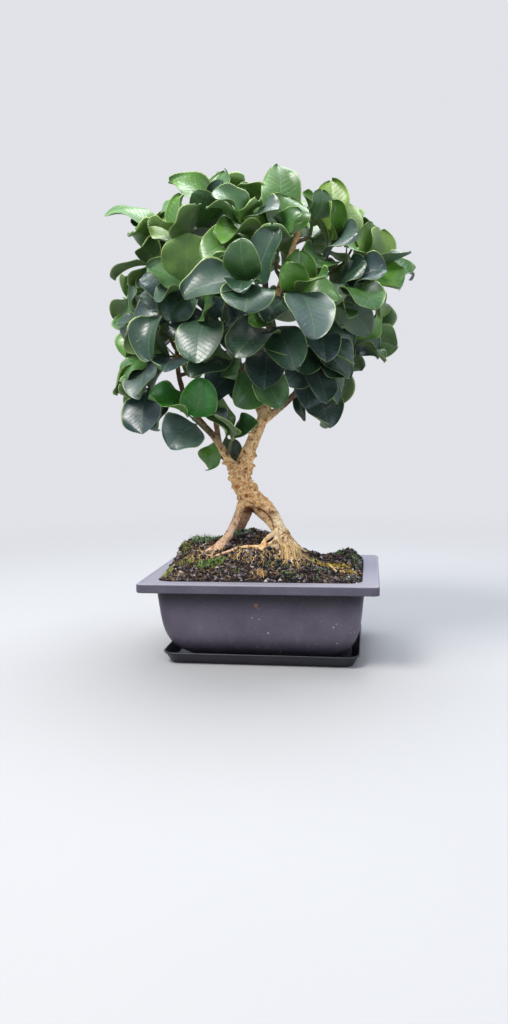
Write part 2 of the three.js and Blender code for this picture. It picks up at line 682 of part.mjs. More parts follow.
// Stem from just off a limb's surface to the leafy twig
function stemFrom(node, twig, away) {
  const reach = sub(twig[0], node.point);
  const way = unit(reach);
  const lean = Math.abs(dot(way, node.way));
  const clear = (node.radius + GAP + STEM.start * lean) / Math.sqrt(1 - lean * lean) + away;
  const start = add(node.point, scale(way, clear));
  const far = length(sub(twig[0], start));
  if (far < 6) return [start, ...twig.slice(1)];
  const sag = scale(squareTo(way, sub(twig[1], twig[0])), -0.1 * far);
  return [start, add(mix(start, twig[0], 0.55), sag), ...twig];
}

function rankedNodes(nodes, twig) {
  const cost = ({ point, way }) => {
    const reach = sub(twig[0], point);
    const far = length(reach);
    const turn = dot(unit(reach), way);
    const backwards = Math.max(0, -turn) * 26;
    const alongside = turn > 0.86 ? (turn - 0.86) * 300 : 0;
    return far + Math.max(0, point[2] - twig[0][2] + 6) + backwards + alongside;
  };
  const usable = nodes.filter(({ point, way }) => Math.abs(dot(unit(sub(twig[0], point)), way)) < 0.93);
  return usable.sort((a, b) => cost(a) - cost(b));
}

function stemPath(points, leafyFrom) {
  return points.map((p, i) => {
    const last = points.length - 1;
    const share = i <= leafyFrom ? i / Math.max(leafyFrom, 1) : (i - leafyFrom) / (last - leafyFrom);
    const [from, to] = i <= leafyFrom ? [STEM.start, STEM.leafy] : [STEM.leafy, STEM.tip];
    return [...p, from + (to - from) * share];
  });
}

// Stem from a node, started a little further out until it is off the limbs
function clearStem(node, twig, limbBodies) {
  for (const away of STEM.away) {
    const points = stemFrom(node, twig, away);
    const path = stemPath(points, points.length - twig.length);
    const back = scale(unit(sub(points[0], points[1])), GAP);
    const [base] = rodBodies([[...add(points[0], back), STEM.start], path[1]], STEM.sides, GAP / 3);
    if (!crossesAny(base, limbBodies)) return { points, path };
  }
  return null;
}

// All stems, each clear of the limbs and of the other stems
function growStems(shoots, woodBodies) {
  const nodes = limbNodes();
  const stems = [];
  const limbBodies = [TRUNK, ...Object.values(LIMBS)].map((path) => bodyOf(rod(path, limbSides(path))));
  for (const shoot of shoots) {
    shoot.dropped = true;
    for (const node of rankedNodes(nodes, shoot.twig).slice(0, 40)) {
      const stem = clearStem(node, shoot.twig, limbBodies);
      if (!stem) continue;
      const { points, path } = stem;
      const bodies = rodBodies(path, STEM.sides);
      const offLimb = mix(points[0], points[1], Math.min(3.5 / length(sub(points[1], points[0])), 0.8));
      const testPath = [[...offLimb, path[0][3]], ...path.slice(1)];
      const againstWood = rodBodies(testPath, STEM.sides);
      if (againstWood.some((body) => crossesAny(body, woodBodies))) continue;
      if (bodies.some((body) => crossesAny(body, stems))) continue;
      const twig = points.length === shoot.twig.length ? points : shoot.twig;
      Object.assign(shoot, { dropped: false, path, bodies, twig });
      stems.push(...bodies);
      nodes.splice(nodes.indexOf(node), 1);
      break;
    }
  }
}

// Small turns tried in order until a leaf is clear of every other shoot
const NUDGES = [
  [0, 0, 1], [6, 0, 1], [-6, 0, 1], [0, 6, 1], [0, -6, 1], [9, 8, 1], [-9, 8, 1], [9, -8, 1], [-9, -8, 1],
  [14, 0, 0.94], [-14, 0, 0.94], [0, 14, 0.94], [0, -14, 0.94], [20, 10, 0.88], [-20, 10, 0.88],
  [20, -10, 0.88], [-20, -10, 0.88], [0, 24, 0.84], [0, -24, 0.84], [28, 0, 0.8], [-28, 0, 0.8],
];

function nudged(leaf, [swing, tilt, size]) {
  const along = unit(sub(leaf.tip, leaf.root));
  const up = squareTo(along, leaf.face);
  const side = cross(along, up);
  const reach = sub(leaf.tip, leaf.root);
  const swung = turned(turned(reach, up, radians(swing)), side, radians(tilt));
  return {
    ...leaf,
    tip: add(leaf.root, scale(swung, size)),
    face: turned(up, side, radians(tilt)),
    width: leaf.width * size,
  };
}

// Outer half of a blade, which leaves of one shoot keep clear of each other
function outerHalf(body) {
  const faces = body.faces.filter((face) => face.every((i) => i >= 5));
  return { ...body, faces, edges: edgesOf(faces) };
}

function placeLeaf(leaf, shoot, placed, stillBodies, tries) {
  for (const nudge of NUDGES.slice(0, tries)) {
    const candidate = nudged(leaf, nudge);
    const body = bodyOf(bladeMesh(candidate, LEAF.clearance), BLADE_EDGES);
    if (crossesAny(body, stillBodies(shoot))) continue;
    const others = placed.filter((item) => item.shoot !== shoot).map((item) => item.body);
    if (crossesAny(body, others)) continue;
    const half = outerHalf(body);
    const own = placed.filter((item) => item.shoot === shoot).map((item) => item.half);
    if (crossesAny(half, own)) continue;
    placed.push({ leaf: candidate, shoot, body, half });
    return true;
  }
  return false;
}

// Leaves in crossed pairs along a twig, for a shoot of any kind
function pairedLeaf(shoot, level, sideways, random) {
  const shares = [0.97, 0.62, 0.3];
  const spreads = [46, 64, 78];
  const sizes = [34, 43, 45];
  const { point, way } = alongLine(shoot.twig, shares[level]);
  const outward = unit(sub(point, CROWN.centre));
  const first = squareTo(way, [0.2, 0.1, 1]);
  const turn = shoot.turn + (level * Math.PI) / 2 + sideways * Math.PI + 0.5 * (random() - 0.5);
  const spoke = turned(first, way, turn);
  const spread = radians(spreads[level] + 16 * (random() - 0.5));
  const reach = add(scale(way, Math.cos(spread)), scale(spoke, Math.sin(spread)));
  const lean = unit(add(add(reach, scale(outward, 0.25)), [0, 0, level === 2 ? -0.12 : 0.05]));
  const size = sizes[level] * (0.88 + 0.26 * random());
  const inner = sub(scale(way, Math.sin(spread)), scale(spoke, Math.cos(spread)));
  const face = add(add(inner, scale(outward, 0.5)), [0, 0, 0.55]);
  return {
    root: point,
    tip: add(point, scale(lean, size)),
    face,
    width: size * (0.72 + 0.14 * random()),
    arch: radians(30 + 45 * random()),
    fold: radians(2 + 14 * random()),
    wave: 0.6 + 1.4 * random(),
    phase: 6 * random(),
  };
}

function frontLeaf(shoot, row, random) {
  const [share, tip, face, width, arch, fold] = row;
  const root = alongLine(shoot.twig, share).point;
  const [wave, phase] = [0.5 + random(), 6 * random()];
  return { root, tip, face, width, arch: radians(arch), fold: radians(fold), wave, phase };
}

function growLeaves(shoots, woodBodies, random) {
  const placed = [];
  const kept = shoots.filter((shoot) => !shoot.dropped);
  const still = new Map();
  const stillBodies = (shoot) => {
    if (!still.has(shoot)) {
      const stems = kept.filter((other) => other !== shoot).flatMap((other) => other.bodies);
      still.set(shoot, [...woodBodies, ...stems]);
    }
    return still.get(shoot);
  };
  for (const shoot of kept) {
    for (const row of shoot.leaves) {
      placeLeaf(frontLeaf(shoot, row, random), shoot, placed, stillBodies, NUDGES.length);
    }
  }
  for (let level = 0; level < 3; level += 1) {
    for (const shoot of kept) {
      for (const sideways of [0, 1]) {
        const leaf = pairedLeaf(shoot, level, sideways, random);
        const bare = BARE_SHOOTS.includes(shoot.name);
        if (!bare && placed.length < LEAF_LIMIT) placeLeaf(leaf, shoot, placed, stillBodies, 17);
      }
    }
  }
  return placed;
}

function growCrown() {
  const random = seededRandom(20);
  const front = FRONT_SHOOTS.map(([name, twig, leaves]) => ({ name: `shoot_${name}`, twig, leaves }));
  const shoots = [...front, ...spreadShoots(random)];
  for (const shoot of shoots) shoot.turn = 2 * Math.PI * random();
  const thick = [TRUNK, ...LEGS, ...Object.values(LIMBS)];
  const woodBodies = thick.flatMap((path) => rodBodies(path, 6));
  growStems(shoots, woodBodies);
  const placed = growLeaves(shoots, woodBodies, random);
  return { shoots: shoots.filter((shoot) => !shoot.dropped), placed };
}

// One shoot: its stem and leaves as a single solid
function shootSolid(shoot, placed) {
  const stem = solidFrom(rod(shoot.path, STEM.sides));
  const own = placed.filter((item) => item.shoot === shoot);
  return joined([stem, ...own.map((item) => solidFrom(bladeMesh(item.leaf)))]);
}

function woodSolid() {
  const thick = [TRUNK, ...LEGS].map((path) => solidFrom(rod(path, 8)));
  const limbs = Object.values(LIMBS).map((path) => solidFrom(rod(path, limbSides(path))));
  const roots = SURFACE_ROOTS.map((path) => solidFrom(rod(path, 6)));
  return joined([...thick, ...limbs, ...roots]);
}

// The finished group
const group = new THREE.Group();

function addNode(name, solid, colour, roughness, metalness = 0) {
  const { vertProperties, triVerts } = solid.getMesh();
  const geometry = new THREE.BufferGeometry();
  geometry.setAttribute('position', new THREE.BufferAttribute(vertProperties, 3));
  geometry.setIndex(new THREE.BufferAttribute(triVerts, 1));
  geometry.computeVertexNormals();
  const material = new THREE.MeshStandardMaterial({ color: colour, roughness, metalness });
  const mesh = new THREE.Mesh(geometry, material);
  mesh.name = name;
  group.add(mesh);
}

const { shoots, placed } = growCrown();
const woodInSoil = [
  ...LEGS.map((path) => ({ path, sides: 8 })),
  ...SURFACE_ROOTS.map((path) => ({ path, sides: 6 })),
];
addNode('drip_tray', solidFrom(trayMesh()), '#1b1b1d', 0.55);
addNode('pot', potSolid(), '#544a50', 0.6);
addNode('soil', soilSolid(woodInSoil), '#2c231c', 0.95);
addNode('trunk', woodSolid(), '#a37e54', 0.85);
for (const shoot of shoots) addNode(shoot.name, shootSolid(shoot, placed), '#35592f', 0.4);

export default group;
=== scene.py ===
"""Japanese privet bonsai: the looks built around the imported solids.

Shapes are worked out in millimetres and turned into metres when a mesh is made.
+Z is up, +X runs along the pot's long side and -Y is the front.
"""

import math
import random

import bpy
import numpy as np
from mathutils import Matrix, Vector, noise


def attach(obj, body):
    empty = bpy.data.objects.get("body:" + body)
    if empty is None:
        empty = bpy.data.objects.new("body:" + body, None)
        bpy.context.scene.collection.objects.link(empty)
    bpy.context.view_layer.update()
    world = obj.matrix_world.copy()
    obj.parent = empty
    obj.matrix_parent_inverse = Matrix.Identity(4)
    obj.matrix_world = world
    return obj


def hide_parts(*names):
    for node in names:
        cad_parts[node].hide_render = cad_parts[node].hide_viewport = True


MM = 0.001
FAR = 1e9 # more than any distance here
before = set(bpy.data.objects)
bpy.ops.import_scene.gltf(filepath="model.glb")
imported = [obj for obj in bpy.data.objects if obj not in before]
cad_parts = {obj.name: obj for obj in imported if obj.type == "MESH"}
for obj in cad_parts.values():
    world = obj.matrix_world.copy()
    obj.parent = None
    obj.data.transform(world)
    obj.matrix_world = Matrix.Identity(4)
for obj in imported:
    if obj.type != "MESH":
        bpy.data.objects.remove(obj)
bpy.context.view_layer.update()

# Driving dimensions, the same as the solids'
GAP = 0.3
TRAY = {"length": 170, "width": 118, "height": 10.6, "flare": 6, "wall": 1.6, "floor": 1.5, "corner": 11}
POT = {
    "length": 202, "width": 150, "top": 74, "bottom": 5,
    "rim_face": 8, "rim_reach": 12.2, "rim_thickness": 2.2,
    "wall": 2, "slope": 6, "tuck_in": 16, "tuck_power": 5.3, "corner": 12,
    "foot_radius": 6, "drain_radius": 5, "stain": (-1, 54),
}
SOIL_EDGE = 73
CROWN = {"centre": np.array([-9.0, 2.0, 304.0]), "reach": np.array([99.0, 80.0, 86.0]), "seed": 20}
LEAF = {
    "petiole": 0.12, "petiole_half_width": 1.1, "half_thickness": 0.75,
    "stations": [0.12, 0.32, 0.6, 0.88], "sunk": 0.9, "clearance": 0.55,
}
STEM = {
    "start": 1.8, "leafy": 1.4, "tip": 0.95, "sides": 4, "shortest": 6,
    "away": [-0.6, -0.3, 0, 0.4, 0.8, 1.4],
}
LEAF_LIMIT = 248


def bell(x, y, cx, cy, wide, deep):
    """1 at a centre, falling off smoothly to the sides."""
    return math.exp(-(((x - cx) / wide) ** 2) - ((y - cy) / deep) ** 2)


def polar(x, y, reach, angle):
    """Place at a distance from another, in a direction seen from above."""
    return x + reach * math.cos(angle), y + reach * math.sin(angle)


def circle(x, y, z, radius, sides):
    return [[*polar(x, y, radius, 2 * math.pi * k / sides), z] for k in range(sides)]


def ramp(value, start, over):
    """0 up to the start and 1 from some way past it, downwards where that way is negative."""
    return np.clip((value - start) / over, 0, 1)


def hill(value, width):
    """1 at zero, falling off smoothly on both sides."""
    return np.exp(-((value / width) ** 2))


def soil_height(x, y):
    """Height of the mounded soil, highest under the trunk, with a shoulder at the left."""
    mound = 33.5 * bell(x, y, -12, 5, 52, 40)
    shoulder = 16 * bell(x, y, -74, 12, 24, 36)
    right = 8 * bell(x, y, 76, 26, 16, 30)
    lumps = 0.9 * math.sin(x * 0.23 + 1) * math.sin(y * 0.31 + 2)
    to_wall = min((87 - abs(x)) / 8, (61.5 - abs(y)) / 12, 1)
    rise = mound + shoulder + right + lumps
    return SOIL_EDGE + rise * (0.35 + 0.65 * max(to_wall, 0))


def on_soil(x, y, radius, lift):
    return [x, y, soil_height(x, y) + lift, radius]


# Wood: rods through given points [x, y, z, radius]
LEGS = [
    [
        [-45, -15, 80, 4.6], [-37, -11.5, 99, 4.4], [-31.2, -9, 108, 3.8], [-26.3, -6, 119, 3.4],
        [-22.2, -3, 130, 3.8], [-19, -1, 138, 5.6],
    ],
    [
        [-37, 22, 80, 3.8], [-30, 16, 100, 3.7], [-23.4, 10.5, 112.5, 4], [-17.5, 6, 125, 4.8],
        [-14, 3, 134, 6],
    ],
    [
        [27, -13, 80, 8], [20.5, -13, 96, 7.8], [17, -12, 105, 6.4], [13.5, -10, 114, 4.6],
        [10.5, -8.5, 122, 4.3], [4.5, -6.5, 130, 4.9], [-4, -3, 136, 6.4], [-12, 0, 140, 7.8],
    ],
    [[13, -8.5, 104, 4.2], [9, -7, 112, 3.8], [2.6, -5, 120.5, 4.4], [-10, 1, 130.5, 6]],
]
SURFACE_ROOTS = [
    [
        on_soil(15, -14, 2.6, 3), on_soil(4, -17, 1.9, 1.4), on_soil(-14, -19, 1.5, 0.8),
        on_soil(-36, -21.5, 1.3, 0.5), on_soil(-62, -26, 1, -1.4),
    ],
    [[15, -13, 111, 3], [7, -15.5, 107, 2.3], [1, -17, 102.5, 1.9], on_soil(-3, -20, 1.4, -1.3)],
    [on_soil(23, -12, 4.6, 5), on_soil(31, -12, 2.8, 1.4), on_soil(42, -13, 1.6, -1.4)],
    [on_soil(-37, -12, 3.6, 4), on_soil(-46, -13, 2.2, 1.1), on_soil(-57, -15, 1.4, -1.4)],
    [on_soil(21, -15, 4, 4), on_soil(23, -21, 2.4, 1.2), on_soil(25, -28, 1.5, -1.4)],
    [on_soil(22, -8, 4.4, 4.4), on_soil(30, 3, 2.6, 1), on_soil(38, 13, 1.6, -1.4)],
    [on_soil(-31, 18, 3.2, 3.4), on_soil(-40, 26, 2.2, 0.8), on_soil(-51, 34, 1.5, -1.4)],
]
TRUNK = [
    [-13.5, 0, 131, 8.6], [-14.5, 0, 137, 9.8], [-16, 0, 142, 10], [-19, 0, 148, 9.8],
    [-22, 0, 155, 9.6], [-23, 0, 162, 9.8], [-22.5, 0, 168, 9],
]
LIMBS = {
    "right": [
        [-20, 0, 162, 8.6], [-17.5, 0, 173, 7.1], [-12, 0, 186, 6], [-4, 0, 202, 5.1], [4, 0, 224, 4.7],
        [7, 1, 242, 4.3], [8, 2, 264, 3.9], [6, 3, 290, 3.4], [3, 4, 318, 3], [2, 4, 344, 2.5],
        [0, 4, 366, 2.1],
    ],
    "left": [
        [-24.5, 0, 160, 6.6], [-31, 0, 168.5, 4.5], [-37, -0.5, 180, 3.6], [-44, -3, 193, 3.3],
        [-56, -6, 207, 2.9], [-68, -10, 224, 2.7], [-75, -8, 248, 2.4], [-78, 0, 272, 2.2],
        [-78, 8, 298, 1.9],
    ],
    "left_inner": [
        [-41, -1.5, 187, 2.8], [-44, 5, 204, 2.7], [-50, 16, 224, 2.4], [-55, 30, 246, 2.2],
        [-58, 38, 270, 1.9],
    ],
    "thin_left": [
        [-2, 0, 211, 3.2], [-8, 1, 226, 2.8], [-15, 5, 244, 2.5], [-28, 10, 266, 2.3],
        [-42, 12, 292, 2.1], [-50, 12, 320, 1.8],
    ],
    "low_right": [
        [1, 0, 208, 3.6], [18, -3, 221, 3.2], [32, -4, 233, 2.8], [46, -3, 251, 2.5], [58, 0, 274, 2.3],
        [64, 4, 300, 2.1], [64, 6, 326, 1.8],
    ],
    "front": [
        [7, 0, 246, 3], [5, -18, 260, 2.7], [1, -36, 274, 2.4], [-5, -50, 294, 2.1], [-8, -52, 318, 1.8],
    ],
    "back": [
        [7, 2, 246, 3], [10, 24, 262, 2.7], [8, 46, 280, 2.4], [2, 58, 304, 2.1], [-2, 58, 330, 1.8],
    ],
    "leader": [
        [6, 3, 292, 3], [14, -16, 310, 2.8], [24, -32, 330, 2.6], [33, -40, 350, 2.4],
        [40, -45, 367, 2.4], [42, -47, 374, 2.6],
    ],
    "back_right": [[44, -3, 248, 2.4], [54, 16, 260, 2.2], [64, 34, 278, 2]],
    "back_left": [[-14, 5, 242, 2.4], [-24, 26, 256, 2.2], [-34, 44, 276, 2]],
}

# Shoots seen from the front: twig points, then each leaf as its place along the twig, its tip,
# the way its upper face looks, its width, arch and fold (degrees) and its tone.
# Tones are partly the leaves' own colour and partly painted light: 'dark' for leaves in shade, 'bright' and
# 'yellow' for lit ones, 'blue' and 'grey' for a bluish sheen.
FRONT_SHOOTS = [
    ["upper_left", [[-73, 0, 335], [-83, -6, 351], [-90, -10, 367]], [
        [0.8, [-133, -22, 387], [-2, -5, 8], 35, 110, 10, "bright"],
        [1, [-60, -18, 392], [-6, -5, 6], 37, 105, 8, "bright"],
        [0.5, [-78, -2, 395], [-3, -9, 2], 28, 20, 14, "dark"],
        [0.2, [-61, 8, 388], [2, -9, 3], 32, 50, 8, "yellow"],
    ]],
    ["left_arc", [[-70, -16, 316], [-79, -20, 330], [-87, -22, 340]], [
        [1, [-127, -18, 331], [-3, -2, 10], 29, 70, 6, "dark"],
        [0.9, [-93, -37, 321], [-6, -5, 5], 31, 90, 4, "dark"],
    ]],
    ["left_centre", [[-45, -28, 312], [-55, -56, 316]], [
        [0.9, [-51, -64, 357], [-1, 8, 4], 42, -35, -16, "bright"],
        [1, [-84, -66, 330], [-1, -7, 6], 27, 45, 8, "pale"],
        [0.6, [-70, -68, 290], [1, -9, 3], 31, 50, 10, "dark"],
    ]],
    ["left_mid", [[-54, -22, 294], [-73, -46, 299]], [
        [0.7, [-96, -50, 312], [-2, -7, 6], 31, 50, 8, "grey"],
        [1, [-84, -66, 257], [-5, -7, 4], 31, 80, 12, "dark"],
    ]],
    ["left_low_mid", [[-86, -6, 286], [-101, -14, 296]], [
        [0.9, [-128, -14, 294], [-2, -6, 8], 26, 45, 10, "dark"],
        [1, [-113, -32, 263], [-6, -7, 3], 27, 60, 24, "bright"],
    ]],
    ["centre_front", [[8, -56, 306], [2, -86, 312]], [
        [1, [-46, -106, 302], [0, -7, 7], 38, 40, 8, "dark"],
        [0.95, [4, -122, 287], [1, -5, 8], 40, 45, 6, "dark"],
        [0.5, [24, -86, 353], [-3, -9, 4], 35, 35, 8, "dark"],
    ]],
    ["centre_upper", [[6, -28, 344], [-4, -54, 363]], [
        [1, [-33, -72, 376], [-1, -5, 9], 24, 45, 10, "pale"],
        [0.8, [-19, -46, 398], [2, -6, 7], 34, 55, -6, "bright"],
        [0.4, [-35, -84, 334], [-1, -9, 4], 36, 55, 8, "fresh_and_lit"],
        [0.9, [24, -76, 371], [-4, -5, 8], 30, 60, 16, "dark"],
    ]],
    ["top_left", [[-25, -4, 357], [-35, -24, 381]], [
        [0.9, [-72, -34, 407], [-3, -6, 8], 29, 75, 12, "bright"],
        [0.5, [-47, -52, 389], [-2, -10, 2], 30, 20, 10, "mid"],
        [0.8, [-38, 8, 420], [-5, -7, 2], 25, 30, 12, "yellow"],
        [1, [-24, -40, 400], [1, -8, 3], 18, 50, 14, "dark"],
    ]],
    ["top_round", [[17, -38, 332], [23, -56, 353]], [
        [0.9, [12, -54, 396], [2, -9, 4], 44, 42, 6, "fresh_and_lit"],
        [0.5, [26, -26, 413], [4, -8, 3], 33, 50, 6, "fresh_and_lit"],
        [0.8, [17, -86, 356], [0, -5, 9], 26, -55, 8, "pale"],
    ]],
    ["top_stub", [[46, -38, 356], [48, -44, 366]], [
        [0.9, [48, -56, 392], [2, -7, 7], 26, 55, 4, "pale"],
    ]],
    ["top_right", [[53, -14, 330], [64, -28, 355]], [
        [1, [62, -24, 402], [-1, -9, 3], 28, 35, 6, "yellow"],
        [0.8, [64, -48, 381], [6, -6, 3], 22, 30, 30, "bright"],
        [0.6, [75, -2, 390], [7, -5, 5], 30, 70, 8, "yellow"],
        [0.4, [82, -62, 352], [1, -8, 5], 33, 40, 8, "grey"],
        [0.9, [42, -52, 361], [-3, -5, 8], 22, 40, 10, "pale"],
    ]],
    ["right_high", [[72, -2, 320], [93, -12, 334]], [
        [0.8, [94, -8, 370], [-5, 6, 4], 30, -30, -10, "bright"],
        [1, [125, -24, 344], [1, -2, 10], 32, -35, 22, "grey"],
        [0.9, [118, -30, 313], [1, -7, 6], 31, 50, 6, "bright"],
        [0.5, [103, -34, 290], [8, -2, 5], 26, 60, 14, "yellow"],
        [0.3, [108, 2, 298], [9, -1, 3], 24, 50, 14, "yellow"],
    ]],
    ["right_mid", [[52, -16, 310], [73, -44, 315]], [
        [0.9, [99, -68, 292], [4, -7, 6], 34, 55, 6, "mid"],
        [0.6, [93, -28, 278], [0, 8, 2], 28, -50, -14, "grey"],
        [1, [62, -72, 296], [0, 8, -3], 22, -40, -8, "grey"],
        [0.8, [92, -62, 322], [1, -8, 4], 26, 40, 8, "dark"],
    ]],
    ["right_front", [[28, -44, 300], [38, -75, 305]], [
        [1, [54, -108, 266], [2, -6, 7], 37, 75, 6, "grey"],
        [0.9, [62, -98, 311], [0, -4, 9], 22, 35, 6, "mid"],
        [0.6, [15, -96, 283], [-2, -8, 5], 31, 50, 8, "dark"],
    ]],
    ["right_low_mid", [[36, -14, 290], [60, -44, 300]], [
        [0.9, [72, -74, 281], [8, -4, 3], 22, -45, 14, "grey"],
        [0.5, [82, -44, 266], [3, -8, 3], 34, 40, 6, "dark"],
    ]],
    ["right_inner", [[30, -18, 272], [53, -48, 277]], [
        [0.8, [80, -60, 249], [5, -6, 6], 24, 45, 14, "dark"],
        [1, [60, -82, 252], [1, -9, 4], 28, 45, 10, "blue"],
        [0.4, [78, -38, 241], [2, -6, 7], 28, 40, 10, "dark"],
    ]],
    ["right_hang", [[24, -8, 254], [46, -34, 258]], [
        [1, [60, -62, 222], [1, -7, 6], 26, -30, 8, "grey"],
        [0.6, [68, -32, 220], [5, -5, 5], 26, 45, 8, "dark"],
    ]],
    ["right_low", [[26, 14, 241], [41, 9, 238]], [
        [1, [59, -36, 200], [3, -7, 4], 34, 40, 10, "grey"],
        [0.5, [32, -14, 208], [-2, -6, 3], 13, 100, 16, "dark"],
    ]],
    ["centre_low", [[10, -26, 262], [18, -64, 283]], [
        [1, [37, -92, 246], [0, -9, 3], 32, 45, 8, "dark"],
        [0.8, [0, -104, 247], [0, -8, 4], 38, 50, 6, "dark"],
        [0.4, [12, -84, 231], [0, -9, 3], 34, 40, 6, "blue"],
    ]],
    ["left_front_low", [[-20, -16, 284], [-37, -54, 293]], [
        [0.8, [-68, -76, 288], [0, -8, 5], 36, 40, 6, "blue"],
        [1, [-40, -90, 252], [0, -8, 6], 39, 45, 8, "dark"],
    ]],
    ["mid_low", [[-8, -14, 252], [-18, -44, 256]], [
        [0.6, [-46, -42, 254], [-1, 5, 8], 26, 30, 8, "mid"],
        [1, [-48, -80, 244], [0, -5, 8], 30, 50, 10, "dark"],
    ]],
    ["left_low", [[-56, -12, 254], [-88, -40, 262]], [
        [1, [-93, -72, 227], [-4, -8, 3], 34, 35, 6, "grey"],
        [0.9, [-128, -32, 233], [-8, -3, 5], 28, 60, 8, "bright"],
        [0.3, [-70, -80, 245], [0, -7, 7], 34, 45, 8, "blue"],
        [0.6, [-83, -72, 268], [-2, -8, 2], 16, 30, 20, "pale"],
    ]],
    ["left_bottom", [[-80, -20, 226], [-96, -32, 236]], [
        [0.9, [-118, -26, 208], [-7, -6, 2], 30, 50, 8, "bright"],
        [1, [-94, -60, 198], [-2, -9, 1], 38, 35, 4, "blue"],
    ]],
    ["new_pair", [[-50, -16, 200], [-55, -42, 210]], [
        [1, [-87, -64, 229], [-1, -6, 8], 31, 35, 22, "young"],
        [0.97, [-41, -60, 243], [3, -8, 4], 31, 60, 12, "young"],
        [0.6, [-72, -60, 187], [0, -9, 2], 37, 40, 4, "grey"],
    ]],
    ["fork", [[-30, -8, 184], [-25, -22, 194]], [
        [0.8, [-50, -36, 226], [2, -6, 7], 28, 50, 10, "bright"],
        [1, [-42, -54, 215], [2, -6, 7], 26, 40, 10, "dark"],
        [0.9, [-2, -36, 206], [0, -8, 6], 25, 35, 8, "mid"],
    ]],
    ["fork_back", [[-40, 12, 186], [-37, 17, 194]], [
        [0.4, [-54, 14, 164], [-3, -8, 3], 26, 35, 16, "bright"],
        [0.9, [-29, 17, 170], [1, -9, 2], 22, 30, 10, "dark"],
    ]],
]

# Low shoots with no more leaves than the front view shows, so that the fork stays in sight
BARE_SHOOTS = ["shoot_fork", "shoot_fork_back", "shoot_new_pair", "shoot_top_stub"]


# Vectors
def unit(vector):
    return vector / math.sqrt(float(vector @ vector))


def length(vector):
    return math.sqrt(float(vector @ vector))


def cross(a, b):
    return np.array([
        a[1] * b[2] - a[2] * b[1],
        a[2] * b[0] - a[0] * b[2],
        a[0] * b[1] - a[1] * b[0],
    ])


def square_to(axis, vector):
    """Part of a vector that is square to a unit axis, made one long."""
    rest = vector - axis * (vector @ axis)
    if length(rest) > 1e-3:
        return unit(rest)
    other = np.array([0.31, 0.17, 0.93])
    return unit(other - axis * (other @ axis))


def turned(vector, axis, angle):
    along = axis * (vector @ axis) * (1 - math.cos(angle))
    side = cross(axis, vector) * math.sin(angle)
    return vector * math.cos(angle) + side + along


def seeded_random(seed):
    """Random numbers from a seed, the same in every run and the same as the solids use."""
    whole = 0xFFFFFFFF
    state = seed & whole

    def draw():
        nonlocal state
        state = (state + 0x6D2B79F5) & whole
        t = state
        t = ((t ^ (t >> 15)) * (t | 1)) & whole
        t ^= (t + (((t ^ (t >> 7)) * (t | 61)) & whole)) & whole
        return ((t ^ (t >> 14)) & whole) / 4294967296

    return draw


# Coarse bodies that the clearance tests use, the same as the solids
def rod_points(path, sides, grow=0.0):
    path = np.asarray(path, float)
    places = path[:, :3]
    last = len(path) - 1
    across = None
    points = []
    reach = grow / math.cos(math.pi / sides)
    for i, place in enumerate(places):
        along = unit(places[min(i + 1, last)] - places[max(i - 1, 0)])
        across = square_to(along, np.array([1.0, 0, 0]) if across is None else across)
        if i == 0:
            across = square_to(along, across)
        other = cross(along, across)
        for k in range(sides):
            angle = 2 * math.pi * k / sides
            spoke = across * math.cos(angle) + other * math.sin(angle)
            points.append(place + spoke * (path[i, 3] + reach))
    return np.array(points)


def skin_faces(rings, count):
    """Triangles of a closed skin over rings of equal size."""
    faces = []
    for i in range(rings - 1):
        for j in range(count):
            a = i * count + j
            b = i * count + (j + 1) % count
            faces += [[a, b, b + count], [a, b + count, a + count]]
    last = (rings - 1) * count
    for j in range(1, count - 1):
        faces += [[0, j + 1, j], [last, last + j, last + j + 1]]
    return np.array(faces)


def edges_of(faces):
    pairs = {tuple(sorted((int(face[k]), int(face[(k + 1) % 3])))) for face in faces for k in range(3)}
    return np.array(sorted(pairs))


class Body:
    """A closed mesh with its edges and its box."""

    def __init__(self, points, faces, edges):
        self.faces = points[faces]
        self.edges = points[edges]
        self.low = points.min(0)
        self.high = points.max(0)


ROD_SHAPES = {}


def rod_body(path, sides, grow=0.0):
    key = (len(path), sides)
    if key not in ROD_SHAPES:
        faces = skin_faces(len(path), sides)
        ROD_SHAPES[key] = (faces, edges_of(faces))
    return Body(rod_points(path, sides, grow), *ROD_SHAPES[key])


def rod_bodies(path, sides):
    return [rod_body(path[i:i + 2], sides, LEAF["clearance"]) for i in range(len(path) - 1)]


def edges_hit(edges, faces):
    """True where any edge goes through any face."""
    p = edges[:, 0][:, None]
    way = (edges[:, 1] - edges[:, 0])[:, None]
    a = faces[:, 0][None]
    ab = (faces[:, 1] - faces[:, 0])[None]
    ac = (faces[:, 2] - faces[:, 0])[None]
    h = np.cross(way, ac)
    det = (ab * h).sum(-1)
    flat = np.abs(det) < 1e-9
    det = np.where(flat, 1.0, det)
    s = p - a
    u = (s * h).sum(-1) / det
    k = np.cross(s, np.broadcast_to(ab, s.shape))
    v = (way * k).sum(-1) / det
    t = (ac * k).sum(-1) / det
    return bool((~flat & (u >= 0) & (u <= 1) & (v >= 0) & (u + v <= 1) & (t >= 0) & (t <= 1)).any())


def reaching(triples, low, high):
    return triples[((triples.max(1) >= low) & (triples.min(1) <= high)).all(-1)]


def crosses_any(body, others):
    near = [o for o in others if (o.low <= body.high).all() and (body.low <= o.high).all()]
    if not near:
        return False
    faces = reaching(np.concatenate([o.faces for o in near]), body.low, body.high)
    if len(faces) and edges_hit(body.edges, faces):
        return True
    edges = reaching(np.concatenate([o.edges for o in near]), body.low, body.high)
    return bool(len(edges)) and edges_hit(edges, body.faces)


